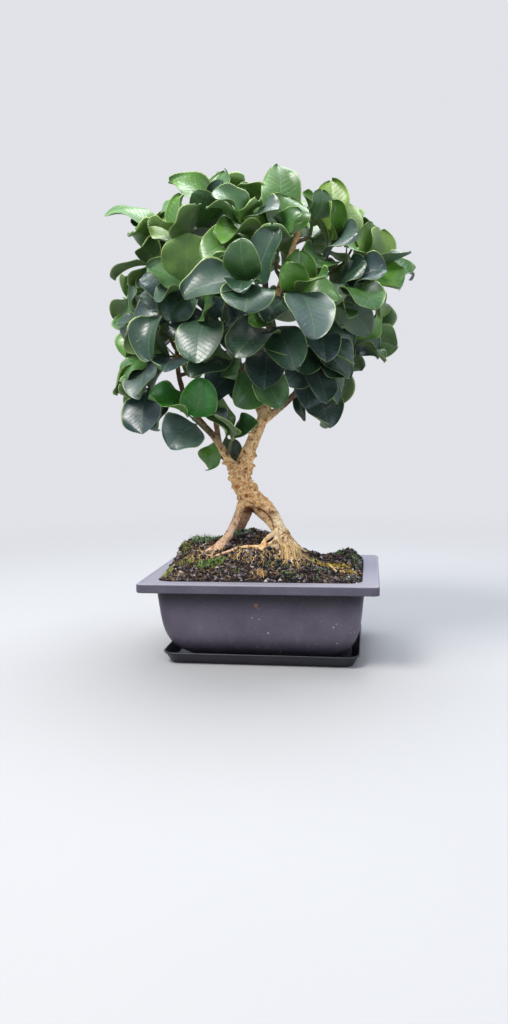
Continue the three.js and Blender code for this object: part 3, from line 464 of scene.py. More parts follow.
# Blades: midrib on an arc from the root to the tip, with a folded and waved face
class Leaf:
    """One leaf: where it grows, where its tip is, which way it faces and how it bends."""

    def __init__(self, root, tip, face, width, arch, fold, wave, phase, tone):
        self.root, self.tip, self.face = root, tip, face
        self.width, self.arch, self.fold = width, arch, fold
        self.wave, self.phase, self.tone = wave, phase, tone
        reach = tip - root
        self.along = unit(reach)
        self.up = square_to(self.along, face)
        self.side = cross(self.along, self.up)
        self.bend = 0.02 if abs(arch) < 0.02 else arch
        self.span = length(reach) * self.bend / 2 / math.sin(self.bend / 2)

    def half_width(self, t):
        if t <= LEAF["petiole"]:
            return LEAF["petiole_half_width"]
        u = (t - LEAF["petiole"]) / (1 - LEAF["petiole"])
        outline = max(math.sin(math.pi * min(u, 1) ** 0.97), 0)
        return max(self.width / 2 * math.sqrt(outline), LEAF["petiole_half_width"])

    def midrib(self, t):
        angle = self.bend / 2 - self.bend * t
        size = self.span / self.bend
        forward = size * (math.sin(self.bend / 2) - math.sin(angle))
        rise = size * (math.cos(angle) - math.cos(self.bend / 2))
        point = self.root + self.along * forward + self.up * rise
        normal = self.up * math.cos(angle) - self.along * math.sin(angle)
        return point, normal

    def edge_point(self, t, s, grow):
        point, normal = self.midrib(t)
        reach = self.half_width(t) + grow
        strength = min(max(t - LEAF["petiole"], 0) * 5, 1)
        wave = self.wave * math.sin(9 * t + self.phase + s) * strength
        lift = reach * math.sin(self.fold) * strength + wave
        return point + self.side * (s * reach * math.cos(self.fold)) + normal * lift

    def coarse_points(self, grow):
        start = unit(self.midrib(LEAF["petiole"])[0] - self.root)
        points = [self.root - start * LEAF["sunk"]]
        for t in LEAF["stations"]:
            point, normal = self.midrib(t)
            half = LEAF["half_thickness"] + grow
            points += [
                self.edge_point(t, -1, grow), point + normal * half,
                self.edge_point(t, 1, grow), point - normal * half,
            ]
        points.append(self.midrib(1)[0] + self.along * grow)
        return np.array(points)

    def nudged(self, swing, tilt, size):
        swung = turned(self.tip - self.root, self.up, math.radians(swing))
        reach = turned(swung, self.side, math.radians(tilt))
        face = turned(self.up, self.side, math.radians(tilt))
        return Leaf(
            self.root, self.root + reach * size, face, self.width * size,
            self.arch, self.fold, self.wave, self.phase, self.tone,
        )


def blade_faces():
    """A point sunk in the twig, four diamond sections and the tip."""
    sections = len(LEAF["stations"])
    faces = [[0, 1 + (k + 1) % 4, 1 + k] for k in range(4)]
    for i in range(sections - 1):
        a = 1 + 4 * i
        b = a + 4
        faces += [[a, a + 1, b], [a + 1, b + 1, b], [a + 1, a + 2, b + 2], [a + 1, b + 2, b + 1]]
        faces += [[a + 2, a + 3, b + 2], [b + 2, a + 3, b + 3], [a + 3, a, b], [a + 3, b, b + 3]]
    end = 1 + 4 * (sections - 1)
    faces += [[end + k, end + (k + 1) % 4, end + 4] for k in range(4)]
    return np.array(faces)


BLADE_FACES = blade_faces()
BLADE_EDGES = edges_of(BLADE_FACES)
OUTER_FACES = BLADE_FACES[(BLADE_FACES >= 5).all(1)]
OUTER_EDGES = edges_of(OUTER_FACES)


# Shoots: a stem from a limb, a leafy twig and its leaves
class Shoot:
    """A leafy stem, with its listed leaves or none."""

    def __init__(self, name, twig, rows=()):
        self.name = name
        self.twig = [np.array(p, float) for p in twig]
        self.rows = rows
        self.path = None
        self.node = None
        self.leaves = []
        self.turn = 0.0
        self.bodies = []


def along_line(points, share):
    """Point and direction at a share of the way along a line of points."""
    steps = [length(q - p) for p, q in zip(points, points[1:])]
    rest = share * sum(steps)
    i = 0
    while rest > steps[i] and i < len(steps) - 1:
        rest -= steps[i]
        i += 1
    way = unit(points[i + 1] - points[i])
    return points[i] + way * rest, way


SPREAD = {"places": 58, "apart": 31, "lowest": -0.72, "jitter": 8}
NODES = {"shares": (0, 0.33, 0.67), "above": 176, "stub_above": 358, "tried": 40}


def spread_shoots(draw):
    """Shoots that the front view doesn't fix, spread evenly over the crown."""
    shoots = []
    golden = math.pi * (3 - math.sqrt(5))
    taken = [np.array(twig[-1], float) for _, twig, _ in FRONT_SHOOTS]
    for i in range(SPREAD["places"]):
        z = 1 - 2 * (i + 0.5) / SPREAD["places"]
        level = math.sqrt(1 - z * z)
        turn = golden * i + 0.4
        jitter = np.array([draw() - 0.5, draw() - 0.5, draw() - 0.5])
        ray = np.array([level * math.cos(turn), level * math.sin(turn), z])
        reach = 0.94 + 0.12 * draw()
        spot = CROWN["centre"] + CROWN["reach"] * reach * ray + SPREAD["jitter"] * jitter
        if any(length(other - spot) < SPREAD["apart"] for other in taken) or z < SPREAD["lowest"]:
            continue
        taken.append(spot)
        way = unit(ray + np.array([0, 0, 0.35]))
        start = spot - way * (26 + 10 * draw())
        bow = square_to(way, np.array([0, 0, -1.0])) * (2 + 2 * draw())
        shoots.append(Shoot(f"shoot_{len(shoots) + 1}", [start, (start + spot) * 0.5 + bow, spot]))
    return shoots


def limb_nodes():
    """Places along the limbs where a stem may start."""
    nodes = []
    for name, path in LIMBS.items():
        for p, q in zip(path, path[1:]):
            p, q = np.array(p, float), np.array(q, float)
            way = unit(q[:3] - p[:3])
            for share in NODES["shares"]:
                place = p + (q - p) * share
                stub = name == "leader" and place[2] > NODES["stub_above"]
                if place[2] > NODES["above"] and not stub:
                    nodes.append({"point": place[:3], "radius": place[3], "way": way})
    return nodes


def stem_from(node, twig, away):
    """Stem from just off a limb's surface to the leafy twig."""
    way = unit(twig[0] - node["point"])
    lean = abs(float(way @ node["way"]))
    clear = (node["radius"] + GAP + STEM["start"] * lean) / math.sqrt(1 - lean * lean) + away
    start = node["point"] + way * clear
    far = length(twig[0] - start)
    if far < STEM["shortest"]:
        return [start, *twig[1:]]
    sag = square_to(way, twig[1] - twig[0]) * (-0.1 * far)
    return [start, start * 0.45 + twig[0] * 0.55 + sag, *twig]


def ranked_nodes(nodes, twig):
    """Nodes to try for a twig: near ones first, rather below it than beside or past it."""
    def cost(node):
        reach = twig[0] - node["point"]
        turn = float(unit(reach) @ node["way"])
        backwards = max(0, -turn) * 26
        alongside = max(0, (turn - 0.86) * 300)
        return length(reach) + max(0, node["point"][2] - twig[0][2] + 6) + backwards + alongside

    usable = [n for n in nodes if abs(float(unit(twig[0] - n["point"]) @ n["way"])) < 0.93]
    return sorted(usable, key=cost)[:NODES["tried"]]


def stem_path(points, leafy_from):
    last = len(points) - 1
    path = []
    for i, point in enumerate(points):
        if i <= leafy_from:
            share = i / max(leafy_from, 1)
            radius = STEM["start"] + (STEM["leafy"] - STEM["start"]) * share
        else:
            share = (i - leafy_from) / (last - leafy_from)
            radius = STEM["leafy"] + (STEM["tip"] - STEM["leafy"]) * share
        path.append([*point, radius])
    return path


def clear_stem(node, twig, limb_bodies):
    """Stem from a node, started a little further out until it is off the limbs."""
    for away in STEM["away"]:
        points = stem_from(node, twig, away)
        path = stem_path(points, len(points) - len(twig))
        back = points[0] + unit(points[0] - points[1]) * GAP
        base = rod_body([[*back, STEM["start"]], path[1]], STEM["sides"], GAP / 3)
        if not crosses_any(base, limb_bodies):
            return points, path
    return None


def limb_sides(path):
    return 8 if path[0][3] > 5 else 5


def grow_stems(shoots, wood_bodies):
    """All stems, each clear of the limbs and of the other stems."""
    nodes = limb_nodes()
    stems = []
    limb_bodies = [rod_body(path, limb_sides(path)) for path in [TRUNK, *LIMBS.values()]]
    for shoot in shoots:
        for node in ranked_nodes(nodes, shoot.twig):
            stem = clear_stem(node, shoot.twig, limb_bodies)
            if stem is None:
                continue
            points, path = stem
            bodies = rod_bodies(path, STEM["sides"])
            first = points[1] - points[0]
            off_limb = points[0] + first * min(3.5 / length(first), 0.8)
            against_wood = rod_bodies([[*off_limb, path[0][3]], *path[1:]], STEM["sides"])
            in_wood = any(crosses_any(body, wood_bodies) for body in against_wood)
            if in_wood or any(crosses_any(body, stems) for body in bodies):
                continue
            if len(points) == len(shoot.twig):
                shoot.twig = points
            shoot.path, shoot.bodies, shoot.node = path, bodies, node
            stems += bodies
            nodes = [other for other in nodes if other is not node]
            break


# Small turns tried in order until a leaf is clear of every other shoot
NUDGES = [
    [0, 0, 1], [6, 0, 1], [-6, 0, 1], [0, 6, 1], [0, -6, 1], [9, 8, 1], [-9, 8, 1], [9, -8, 1], [-9, -8, 1],
    [14, 0, 0.94], [-14, 0, 0.94], [0, 14, 0.94], [0, -14, 0.94], [20, 10, 0.88], [-20, 10, 0.88],
    [20, -10, 0.88], [-20, -10, 0.88], [0, 24, 0.84], [0, -24, 0.84], [28, 0, 0.8], [-28, 0, 0.8],
]
RULE_NUDGES = 17 # how many of them a leaf that isn't listed tries


def place_leaf(leaf, shoot, placed, still, tries):
    others = [item["body"] for item in placed if item["shoot"] is not shoot] + still[shoot.name]
    own = [item["half"] for item in placed if item["shoot"] is shoot]
    for nudge in NUDGES[:tries]:
        candidate = leaf.nudged(*nudge)
        points = candidate.coarse_points(LEAF["clearance"])
        body = Body(points, BLADE_FACES, BLADE_EDGES)
        if crosses_any(body, others):
            continue
        half = Body(points, OUTER_FACES, OUTER_EDGES)
        if crosses_any(half, own):
            continue
        placed.append({"leaf": candidate, "shoot": shoot, "body": body, "half": half})
        shoot.leaves.append(candidate)
        return


# Pairs from the tip of a twig inwards: share of the twig, spread in degrees, droop and leaf length
PAIRS = [(0.97, 46, 0.05, 34), (0.62, 64, 0.05, 43), (0.3, 78, -0.12, 45)]


def paired_leaf(shoot, level, sideways, draw):
    """Leaf of a crossed pair along a twig, for a shoot of any kind."""
    share, spread, droop, size = PAIRS[level]
    point, way = along_line(shoot.twig, share)
    outward = unit(point - CROWN["centre"])
    first = square_to(way, np.array([0.2, 0.1, 1]))
    turn = shoot.turn + level * math.pi / 2 + sideways * math.pi + 0.5 * (draw() - 0.5)
    spoke = turned(first, way, turn)
    spread = math.radians(spread + 16 * (draw() - 0.5))
    reach = way * math.cos(spread) + spoke * math.sin(spread)
    lean = unit(reach + outward * 0.25 + np.array([0, 0, droop]))
    size = size * (0.88 + 0.26 * draw())
    inner = way * math.sin(spread) - spoke * math.cos(spread)
    face = inner + outward * 0.5 + np.array([0, 0, 0.55])
    width = size * (0.72 + 0.14 * draw())
    arch = math.radians(30 + 45 * draw())
    fold = math.radians(2 + 14 * draw())
    wave = 0.6 + 1.4 * draw()
    return Leaf(point, point + lean * size, face, width, arch, fold, wave, 6 * draw(), None)


def front_leaf(shoot, row, draw):
    share, tip, face, width, arch, fold, tone = row
    root = along_line(shoot.twig, share)[0]
    wave = 0.5 + draw()
    phase = 6 * draw()
    return Leaf(
        root, np.array(tip, float), np.array(face, float), width,
        math.radians(arch), math.radians(fold), wave, phase, tone,
    )


def grow_leaves(shoots, wood_bodies, draw):
    placed = []
    still = {
        shoot.name: wood_bodies + [b for other in shoots if other is not shoot for b in other.bodies]
        for shoot in shoots
    }
    for shoot in shoots:
        for row in shoot.rows:
            place_leaf(front_leaf(shoot, row, draw), shoot, placed, still, len(NUDGES))
    for level in range(len(PAIRS)):
        for shoot in shoots:
            for sideways in (0, 1):
                leaf = paired_leaf(shoot, level, sideways, draw)
                if shoot.name not in BARE_SHOOTS and len(placed) < LEAF_LIMIT:
                    place_leaf(leaf, shoot, placed, still, RULE_NUDGES)


def grow_crown():
    """All shoots that found a place, with their leaves."""
    draw = seeded_random(CROWN["seed"])
    shoots = [Shoot(f"shoot_{name}", twig, rows) for name, twig, rows in FRONT_SHOOTS]
    shoots += spread_shoots(draw)
    for shoot in shoots:
        shoot.turn = 2 * math.pi * draw()
    wood_bodies = [b for path in [TRUNK, *LEGS, *LIMBS.values()] for b in rod_bodies(path, 6)]
    grow_stems(shoots, wood_bodies)
    kept = [shoot for shoot in shoots if shoot.path]
    grow_leaves(kept, wood_bodies, draw)
    return kept


# Mesh building
def make_piece(name, points, faces, materials, face_material=None, layers=None, smooth=True):
    """Mesh object from points in millimetres, with optional per-point colours or vectors."""
    mesh = bpy.data.meshes.new(name)
    mesh.from_pydata((np.asarray(points, float) * MM).tolist(), [], faces)
    for material in materials:
        mesh.materials.append(material)
    if face_material is not None:
        mesh.polygons.foreach_set("material_index", np.asarray(face_material, np.int32))
    if smooth:
        mesh.polygons.foreach_set("use_smooth", np.ones(len(mesh.polygons), bool))
    for layer, (kind, values) in (layers or {}).items():
        attribute = mesh.attributes.new(layer, kind, "POINT")
        channel = "color" if kind == "FLOAT_COLOR" else "vector"
        attribute.data.foreach_set(channel, np.asarray(values, np.float32).ravel())
    mesh.update()
    piece = bpy.data.objects.new(name, mesh)
    bpy.context.scene.collection.objects.link(piece)
    return piece


def ring_faces(rings, count):
    """Quads between rings of equal size that follow each other, and a face at both ends."""
    faces = []
    for first in range(0, (rings - 1) * count, count):
        for j in range(count):
            a, b = first + j, first + (j + 1) % count
            faces.append((a, b, b + count, a + count))
    last = (rings - 1) * count
    return faces + [tuple(range(count - 1, -1, -1)), tuple(range(last, last + count))]


class Batch:
    """Collects points, faces and per-point layers of many small shapes for one mesh."""

    def __init__(self):
        self.points, self.faces, self.materials, self.tones, self.blades = [], [], [], [], []
        self.count = 0

    def add(self, points, faces, tone, material=0, blade=None, side=None):
        points = np.asarray(points, float).reshape(-1, 3)
        self.faces += [tuple(i + self.count for i in face) for face in faces]
        self.materials += [material] * len(faces)
        self.points.append(points)
        colours = np.ones((len(points), 4))
        colours[:, :3] = tone
        if side is not None:
            colours[:, 3] = side
        self.tones.append(colours)
        self.blades.append(np.zeros((len(points), 3)) if blade is None else blade)
        self.count += len(points)

    def rod(self, line, sides, tone=(0, 0, 0), material=0):
        self.add(rod_points(line, sides), ring_faces(len(line), sides), tone, material)

    def piece(self, name, materials, smooth=True):
        layers = {
            "tone": ("FLOAT_COLOR", np.concatenate(self.tones)),
            "blade": ("FLOAT_VECTOR", np.concatenate(self.blades)),
        }
        return make_piece(
            name, np.concatenate(self.points), self.faces, materials, self.materials, layers, smooth,
        )


def smooth_path(path, rounds):
    """Path with its corners cut a quarter of the way along each side, ends kept."""
    path = np.asarray(path, float)
    for _ in range(rounds):
        inner = []
        for p, q in zip(path[:-1], path[1:]):
            inner += [p + (q - p) * 0.25, p + (q - p) * 0.75]
        path = np.array([path[0], *inner[1:-1], path[-1]])
    return path


def fractal(x, y, z, scale, octaves, seed):
    """Smooth noise from about -1 to 1 at a place in millimetres."""
    spot = Vector((x / scale + seed, y / scale - seed, z / scale + 2 * seed))
    value = noise.noise(spot)
    size = 0.5
    for _ in range(octaves - 1):
        spot = spot * 2.03
        value += size * noise.noise(spot)
        size *= 0.5
    return value


# Leaves in full: a closed blade with a grooved midrib, a rounded rim and a waved edge
# Leaf tones, partly the leaves' own colour and partly painted light: 'dark' is painted shade deep in the
# crown, 'blue' and 'grey' carry a painted bluish sheen, 'bright' and 'yellow' painted light on the top.
TONES = {
    "dark": (0.026, 0.068, 0.040),
    "blue": (0.030, 0.061, 0.060),
    "mid": (0.052, 0.150, 0.032),
    "fresh_and_lit": (0.066, 0.175, 0.024),
    "bright": (0.092, 0.245, 0.024),
    "yellow": (0.135, 0.240, 0.028),
    "pale": (0.078, 0.175, 0.062),
    "grey": (0.058, 0.098, 0.086),
    "young": (0.040, 0.230, 0.025),
}
UNDERSIDE = np.array((0.125, 0.205, 0.045))
ACROSS = [-1, -0.965, -0.87, -0.7, -0.5, -0.3, -0.13, -0.05, 0, 0.05, 0.13, 0.3, 0.5, 0.7, 0.87, 0.965, 1]
ROUND = ACROSS + ACROSS[-2:0:-1] # across the upper side, then back along the under side
UPPER, UNDER = len(ACROSS), len(ACROSS) - 2
BLADE_HALF = 0.34
FULLNESS = 1.03 # full outline against the flat-sided one of the solids
PETIOLE_HALF = 0.8
RIB = {"reach": 0.055, "groove": 0.16, "keel": 0.42} # midrib: share of the half width, depth and height
# Places along a leaf, closer together at its root and tip
STEPS = 19
LEAF_STATIONS = [
    -0.04, 0.0, 0.05, 0.1,
    *(0.12 + 0.88 * (0.5 - 0.5 * math.cos(math.pi * k / STEPS)) for k in range(1, STEPS)),
    0.9985,
]


def leaf_bends(rng):
    """How one leaf departs from its plain form: rippled and rolled-up edge, hollow blade, curled tip."""
    return {
        "ripple": rng.uniform(0.8, 2.4), "ripple_start": rng.uniform(0, 6), "ripples": rng.uniform(9, 15),
        "hollow": rng.uniform(-0.12, 0.2), "tip": rng.uniform(-4.8, 1.2), "wave": rng.uniform(1.5, 2.4),
        "turned": rng.uniform(-1.6, 2.2), "sway": rng.uniform(-1.2, 1.2), "rolled": rng.uniform(0.3, 2.4),
        "widest": rng.uniform(0.86, 1.1),
    }


def leaf_section(leaf, t, bends):
    """Closed section of a blade: upper side from left to right, then the under side back."""
    point, normal = leaf.midrib(max(t, 0))
    if t < 0:
        point = point + (leaf.midrib(0)[0] - leaf.midrib(0.05)[0]) / 0.05 * -t
    blade = min(max((t - 0.09) / 0.12, 0), 1)
    blade = blade * blade * (3 - 2 * blade)
    u = min(max((t - LEAF["petiole"]) / (1 - LEAF["petiole"]), 0), 1)
    outline = math.sqrt(max(math.sin(math.pi * u ** bends["widest"]), 0))
    half = max(FULLNESS * leaf.width / 2 * outline, PETIOLE_HALF * (1 - 0.9 * max(u - 0.9, 0) * 10))
    thick = PETIOLE_HALF + (BLADE_HALF - PETIOLE_HALF) * blade
    thick *= 1 - 0.75 * max(u - 0.93, 0) / 0.07
    strength = min(max(t - LEAF["petiole"], 0) * 5, 1)
    upper, under = [], []
    for s in ACROSS:
        reach = abs(s) ** 1.5 * half * math.sin(leaf.fold) * strength
        wave = bends["wave"] * leaf.wave * s * s * math.sin(9 * t + leaf.phase + s) * strength
        turn = bends["ripples"] * t + bends["ripple_start"] + 2 * s
        edge = (bends["ripple"] * math.sin(turn) + bends["turned"] * s) * abs(s) ** 2.6 * strength
        edge += bends["rolled"] * abs(s) ** 7 * strength
        rise = reach + wave + edge + bends["hollow"] * half * s * s * strength + bends["tip"] * u ** 3
        across = s * half * math.cos(leaf.fold) + bends["sway"] * math.sin(math.pi * u)
        middle = point + leaf.side * across + normal * rise
        rim = math.sqrt(max(1 - abs(s) ** (2 + 6 * blade), 0))
        rib = math.exp(-((s / RIB["reach"]) ** 2)) * blade * (1 - 0.8 * u)
        upper.append(middle + normal * (thick * rim - RIB["groove"] * rib))
        under.append(middle - normal * (thick * rim + RIB["keel"] * rib))
    return upper + under[-2:0:-1]


def nearest_on(path, point):
    """Nearest point on a line of points."""
    spots = []
    for p, q in zip(path[:-1, :3], path[1:, :3]):
        way = q - p
        share = min(max(float((point - p) @ way) / float(way @ way), 0), 1)
        spots.append(p + way * share)
    return min(spots, key=lambda spot: length(point - spot))


def leaf_colours(tone, wobble):
    """Colour of each point: the tone above, paler underneath, with a soft change along the blade."""
    upper = np.array(TONES[tone]) * wobble
    under = upper * 0.45 + UNDERSIDE * 0.55 * wobble
    if tone in ("grey", "pale"):
        under = upper * 0.8 + UNDERSIDE * 0.3
    colours = []
    for t in LEAF_STATIONS:
        to_root = 1 + 0.35 * max(0.3 - t, 0)
        colours += [upper * to_root] * UPPER + [under * to_root] * UNDER
    return np.array(colours)


def add_leaf(batch, leaf, tone, stem, rng):
    """One leaf, its root moved on to the smooth stem."""
    bends = leaf_bends(rng)
    wobble = rng.uniform(0.85, 1.18)
    shift = nearest_on(stem, leaf.root) - leaf.root
    size = length(leaf.tip - leaf.root)
    points, blades = [], []
    for t in LEAF_STATIONS:
        ease = max(1 - max(t, 0) / 0.2, 0)
        points += [p + shift * ease for p in leaf_section(leaf, t, bends)]
        width = leaf.half_width(t)
        blades += [[s * width, t * size, abs(s)] for s in ROUND]
    sides = np.array(([1.0] * UPPER + [0.0] * UNDER) * len(LEAF_STATIONS))
    faces = ring_faces(len(LEAF_STATIONS), len(ROUND))
    batch.add(points, faces, leaf_colours(tone, wobble), 0, np.array(blades), sides)


# Materials
class Wire:
    """What a node gives out, for sums written the usual way."""

    def __init__(self, nodes, socket):
        self.nodes, self.socket = nodes, socket

    def __add__(self, other):
        return self.nodes.math("ADD", self, other)

    def __sub__(self, other):
        return self.nodes.math("SUBTRACT", self, other)

    def __rsub__(self, other):
        return self.nodes.math("SUBTRACT", other, self)

    def __mul__(self, other):
        return self.nodes.math("MULTIPLY", self, other)


class Nodes:
    """A node tree and a short way to add to it."""

    def __init__(self, tree, output):
        self.tree = tree
        tree.nodes.clear()
        self.output = self.add(output)

    def put(self, socket, value):
        if isinstance(value, Wire):
            self.tree.links.new(value.socket, socket)
        else:
            socket.default_value = (*value, 1.0) if isinstance(value, tuple) else value

    def fill(self, node, **values):
        """Set or link inputs, given by their names in small letters."""
        for name, value in values.items():
            self.put(node.inputs[name.replace("_", " ").title().replace("Ior", "IOR")], value)
        return node

    def add(self, kind, **values):
        return self.fill(self.tree.nodes.new("ShaderNode" + kind), **values)

    def give(self, output, kind, **values):
        """One output of a new node."""
        return Wire(self, self.add(kind, **values).outputs[output])

    def attribute(self, name, output):
        node = self.add("Attribute")
        node.attribute_name = name
        return Wire(self, node.outputs[output])

    def place(self, stretch=(1, 1, 1)):
        """Place in the object, in millimetres, stretched along the axes."""
        scale = [1000 * k for k in stretch]
        return self.give(0, "Mapping", vector=self.give("Object", "TexCoord"), scale=scale)

    def noise(self, place, size, detail=4, rough=0.55, distortion=0.0):
        return self.give(
            "Fac", "TexNoise", vector=place, scale=1 / size, detail=detail,
            roughness=rough, distortion=distortion,
        )

    def cells(self, place, size, feature="F1"):
        node = self.add("TexVoronoi", vector=place, scale=1 / size)
        node.feature = feature
        return Wire(self, node.outputs["Distance"])

    def math(self, operation, a, b=0.0):
        node = self.add("Math")
        node.operation = operation
        self.put(node.inputs[0], a)
        self.put(node.inputs[1], b)
        return Wire(self, node.outputs[0])

    def range(self, value, low, high, to_low=0.0, to_high=1.0, shape="SMOOTHSTEP"):
        """From one number to another while the value goes from low to high."""
        node = self.add("MapRange", value=value, from_min=low, from_max=high, to_min=to_low, to_max=to_high)
        node.interpolation_type = shape
        return Wire(self, node.outputs["Result"])

    def fall(self, value, low, high):
        return self.range(value, low, high, 1.0, 0.0)

    def mix(self, share, a, b, blend="MIX"):
        node = self.add("Mix")
        node.data_type = "RGBA"
        node.blend_type = blend
        for socket, value in zip((0, 6, 7), (share, a, b)):
            self.put(node.inputs[socket], value)
        return Wire(self, node.outputs[2])

    def tinted(self, colour, tint):
        return self.mix(1.0, colour, tint, "MULTIPLY")

    def painted(self, colour, *coats):
        """Colour with others laid over it in turn, each by its share."""
        for share, tint in coats:
            colour = self.mix(share, colour, tint)
        return colour

    def bump(self, height, strength, depth):
        """Bump whose height runs from 0 to 1 over a depth in millimetres."""
        return self.give(0, "Bump", strength=strength, distance=depth * MM, height=height)

    def split(self, vector):
        return [Wire(self, part) for part in self.add("SeparateXYZ", vector=vector).outputs]


class Look(Nodes):
    """A material with one principled surface."""

    def __init__(self, name):
        self.material = bpy.data.materials.new(name)
        self.material.use_nodes = True
        super().__init__(self.material.node_tree, "OutputMaterial")
        self.shader = self.add("BsdfPrincipled")
        self.put(self.output.inputs[0], Wire(self, self.shader.outputs[0]))

    def done(self, **values):
        self.fill(self.shader, **values)
        return self.material


def leaf_look():
    """Waxy leaf: pale midrib, a painted highlight along the edge, faint side veins, matter and paler
    underneath.
    """
    look = Look("waxy_leaf")
    across, along, share = look.split(look.attribute("blade", "Vector"))
    under = 1.0 - look.attribute("tone", "Alpha")
    place = look.place()
    off = look.math("ABSOLUTE", across)
    blotch = look.noise(place, 16, 3)
    mottled = look.mix(look.range(blotch, 0.35, 0.7), (0.78, 0.8, 0.82), (1.2, 1.16, 1.08))
    speck = look.range(look.noise(place, 1.3, 2), 0.4, 0.75)
    slant = along - off * 0.75 + blotch * 3.0
    wave = look.math("ABSOLUTE", look.math("SINE", slant * 0.72))
    vein = look.fall(wave, 0.0, 0.22) * look.fall(share, 0.55, 0.9)
    midrib = look.fall(off, 0.15, 0.75)
    # painted highlight: a pale line along the blade's rim, where light catches the edge
    edge = look.range(share, 0.94, 0.985)
    colour = look.painted(
        look.tinted(look.attribute("tone", "Color"), mottled),
        (speck * 0.12, (0.12, 0.17, 0.1)), (vein * 0.14, (0.16, 0.26, 0.12)),
        (midrib * 0.3, (0.17, 0.28, 0.11)), (edge * 0.75, (0.36, 0.47, 0.16)),
    )
    roughness = look.range(look.noise(place, 9, 3), 0.3, 0.7, 0.27, 0.4) + under * 0.22
    relief = vein * -0.6 + blotch * 0.8 + look.noise(place, 1.1, 2) * 0.16
    return look.done(
        base_color=colour, roughness=roughness, normal=look.bump(relief, 0.55, 0.6),
        specular_ior_level=0.5, coat_weight=0.09, coat_roughness=0.24,
    )


def twig_look():
    """Young stem: green-brown with fine lengthwise lines and pale pores."""
    look = Look("young_stem")
    tone = look.attribute("tone", "Color")
    streak = look.noise(look.place((1, 1, 0.25)), 1.2, 3)
    colour = look.mix(look.range(streak, 0.35, 0.7), look.tinted(tone, (0.6, 0.55, 0.5)), tone)
    pore = look.fall(look.cells(look.place(), 2.2), 0.1, 0.22)
    colour = look.mix(pore * 0.5, colour, (0.42, 0.33, 0.2))
    roughness = look.range(streak, 0.3, 0.7, 0.55, 0.75)
    return look.done(base_color=colour, roughness=roughness, normal=look.bump(streak, 0.5, 0.3))


# 'deep' is the painted shade of cracks, sunk scars and hollows; 'pale' serves both the pale scaly patches
# and the painted highlight on raised bark
BARK_TINTS = {
    "shade": (0.88, 0.77, 0.66), "pale": (1.2, 1.27, 1.4), "orange": (0.68, 0.36, 0.15),
    "dark": (0.42, 0.21, 0.11), "deep": (0.34, 0.15, 0.075),
}


def bark_look():
    """Pale golden bark: scaly patches, orange-brown flecks and fine lengthwise grain, with painted
    highlights on raised knobs and scar rims and painted shade in cracks, sunk scars, creases and hollows.
    """
    look = Look("tan_bark")
    place = look.place()
    base = look.attribute("tone", "Color")
    # painted light level of the bark: high on raised parts, low in cracks and hollows
    relief = look.attribute("tone", "Alpha")
    height = look.split(place)[2]
    knotty = look.range(height, 124, 138) * look.fall(height, 176, 190)
    patch = look.noise(place, 12, 4, 0.6)
    fibre = look.noise(look.place((1, 1, 0.3)), 1.2, 5, 0.65, 0.4)
    flake = look.noise(place, 1.9, 4, 0.7, 1.1)
    fleck = look.range(look.noise(place, 2.3, 3, 0.62, 2.2), 0.53, 0.6)
    ring = look.range(look.noise(look.place((0.35, 0.35, 1.5)), 2.2, 3, 0.6), 0.6, 0.7)
    scale = look.fall(look.cells(place, 4.6, "DISTANCE_TO_EDGE"), 0.03, 0.16)
    scale = scale * look.fall(flake, 0.4, 0.55)
    shade, pale, orange, dark, deep = (look.tinted(base, tint) for tint in BARK_TINTS.values())
    colour = look.painted(
        look.mix(look.range(patch, 0.35, 0.6), shade, base),
        (look.range(flake, 0.46, 0.58) * 0.9, pale), (fleck * (knotty * 0.55 + 0.25), orange),
        (ring * 0.5, orange), (look.range(fibre, 0.28, 0.4, 0.5, 0.0), dark),
        # painted highlight on raised bark, then painted shade in its cracks, sunk scars and hollows
        (scale * (knotty * 0.6), dark), (look.range(relief, 0.62, 0.9, 0.0, 0.85), pale),
        (look.range(relief, 0.06, 0.44, 0.92, 0.0), deep),
    )
    bumps = fibre * 0.5 + flake * 0.7 - scale * 0.5
    return look.done(
        base_color=colour, roughness=look.range(fibre, 0.3, 0.7, 0.6, 0.78),
        normal=look.bump(bumps, 0.8, 0.8), specular_ior_level=0.3,
    )


def soil_look():
    """Dark fibrous potting soil."""
    look = Look("potting_soil")
    grain, clod = look.noise(look.place(), 1.6, 5, 0.7), look.noise(look.place(), 9, 4, 0.6)
    colour = look.painted(
        look.tinted(look.attribute("tone", "Color"), look.mix(clod, (0.5, 0.48, 0.5), (1.5, 1.42, 1.4))),
        (look.range(grain, 0.52, 0.75, 0.0, 0.5), (0.11, 0.08, 0.07)),
        (look.range(grain, 0.25, 0.45, 0.7, 0.0), (0.006, 0.005, 0.006)),
    )
    return look.done(
        base_color=colour, roughness=look.range(grain, 0.3, 0.7, 0.85, 1.0),
        normal=look.bump(grain + clod, 0.9, 1.0), specular_ior_level=0.25,
    )


def litter_look():
    """Crumbs, fibres, moss and fine roots, each with its own tone."""
    look = Look("soil_litter")
    grain = look.noise(look.place(), 0.8, 3, 0.6)
    patchy = look.mix(grain, (0.6, 0.6, 0.6), (1.35, 1.35, 1.35))
    return look.done(
        base_color=look.tinted(look.attribute("tone", "Color"), patchy),
        roughness=look.range(grain, 0.3, 0.7, 0.75, 0.95),
        normal=look.bump(grain, 0.4, 0.2), specular_ior_level=0.3,
    )


SPECKS = ((3.6, 0.12), (7.5, 0.12), (13, 0.085)) # distance between them and width as a share of it
STAIN_RADIUS = 2.6


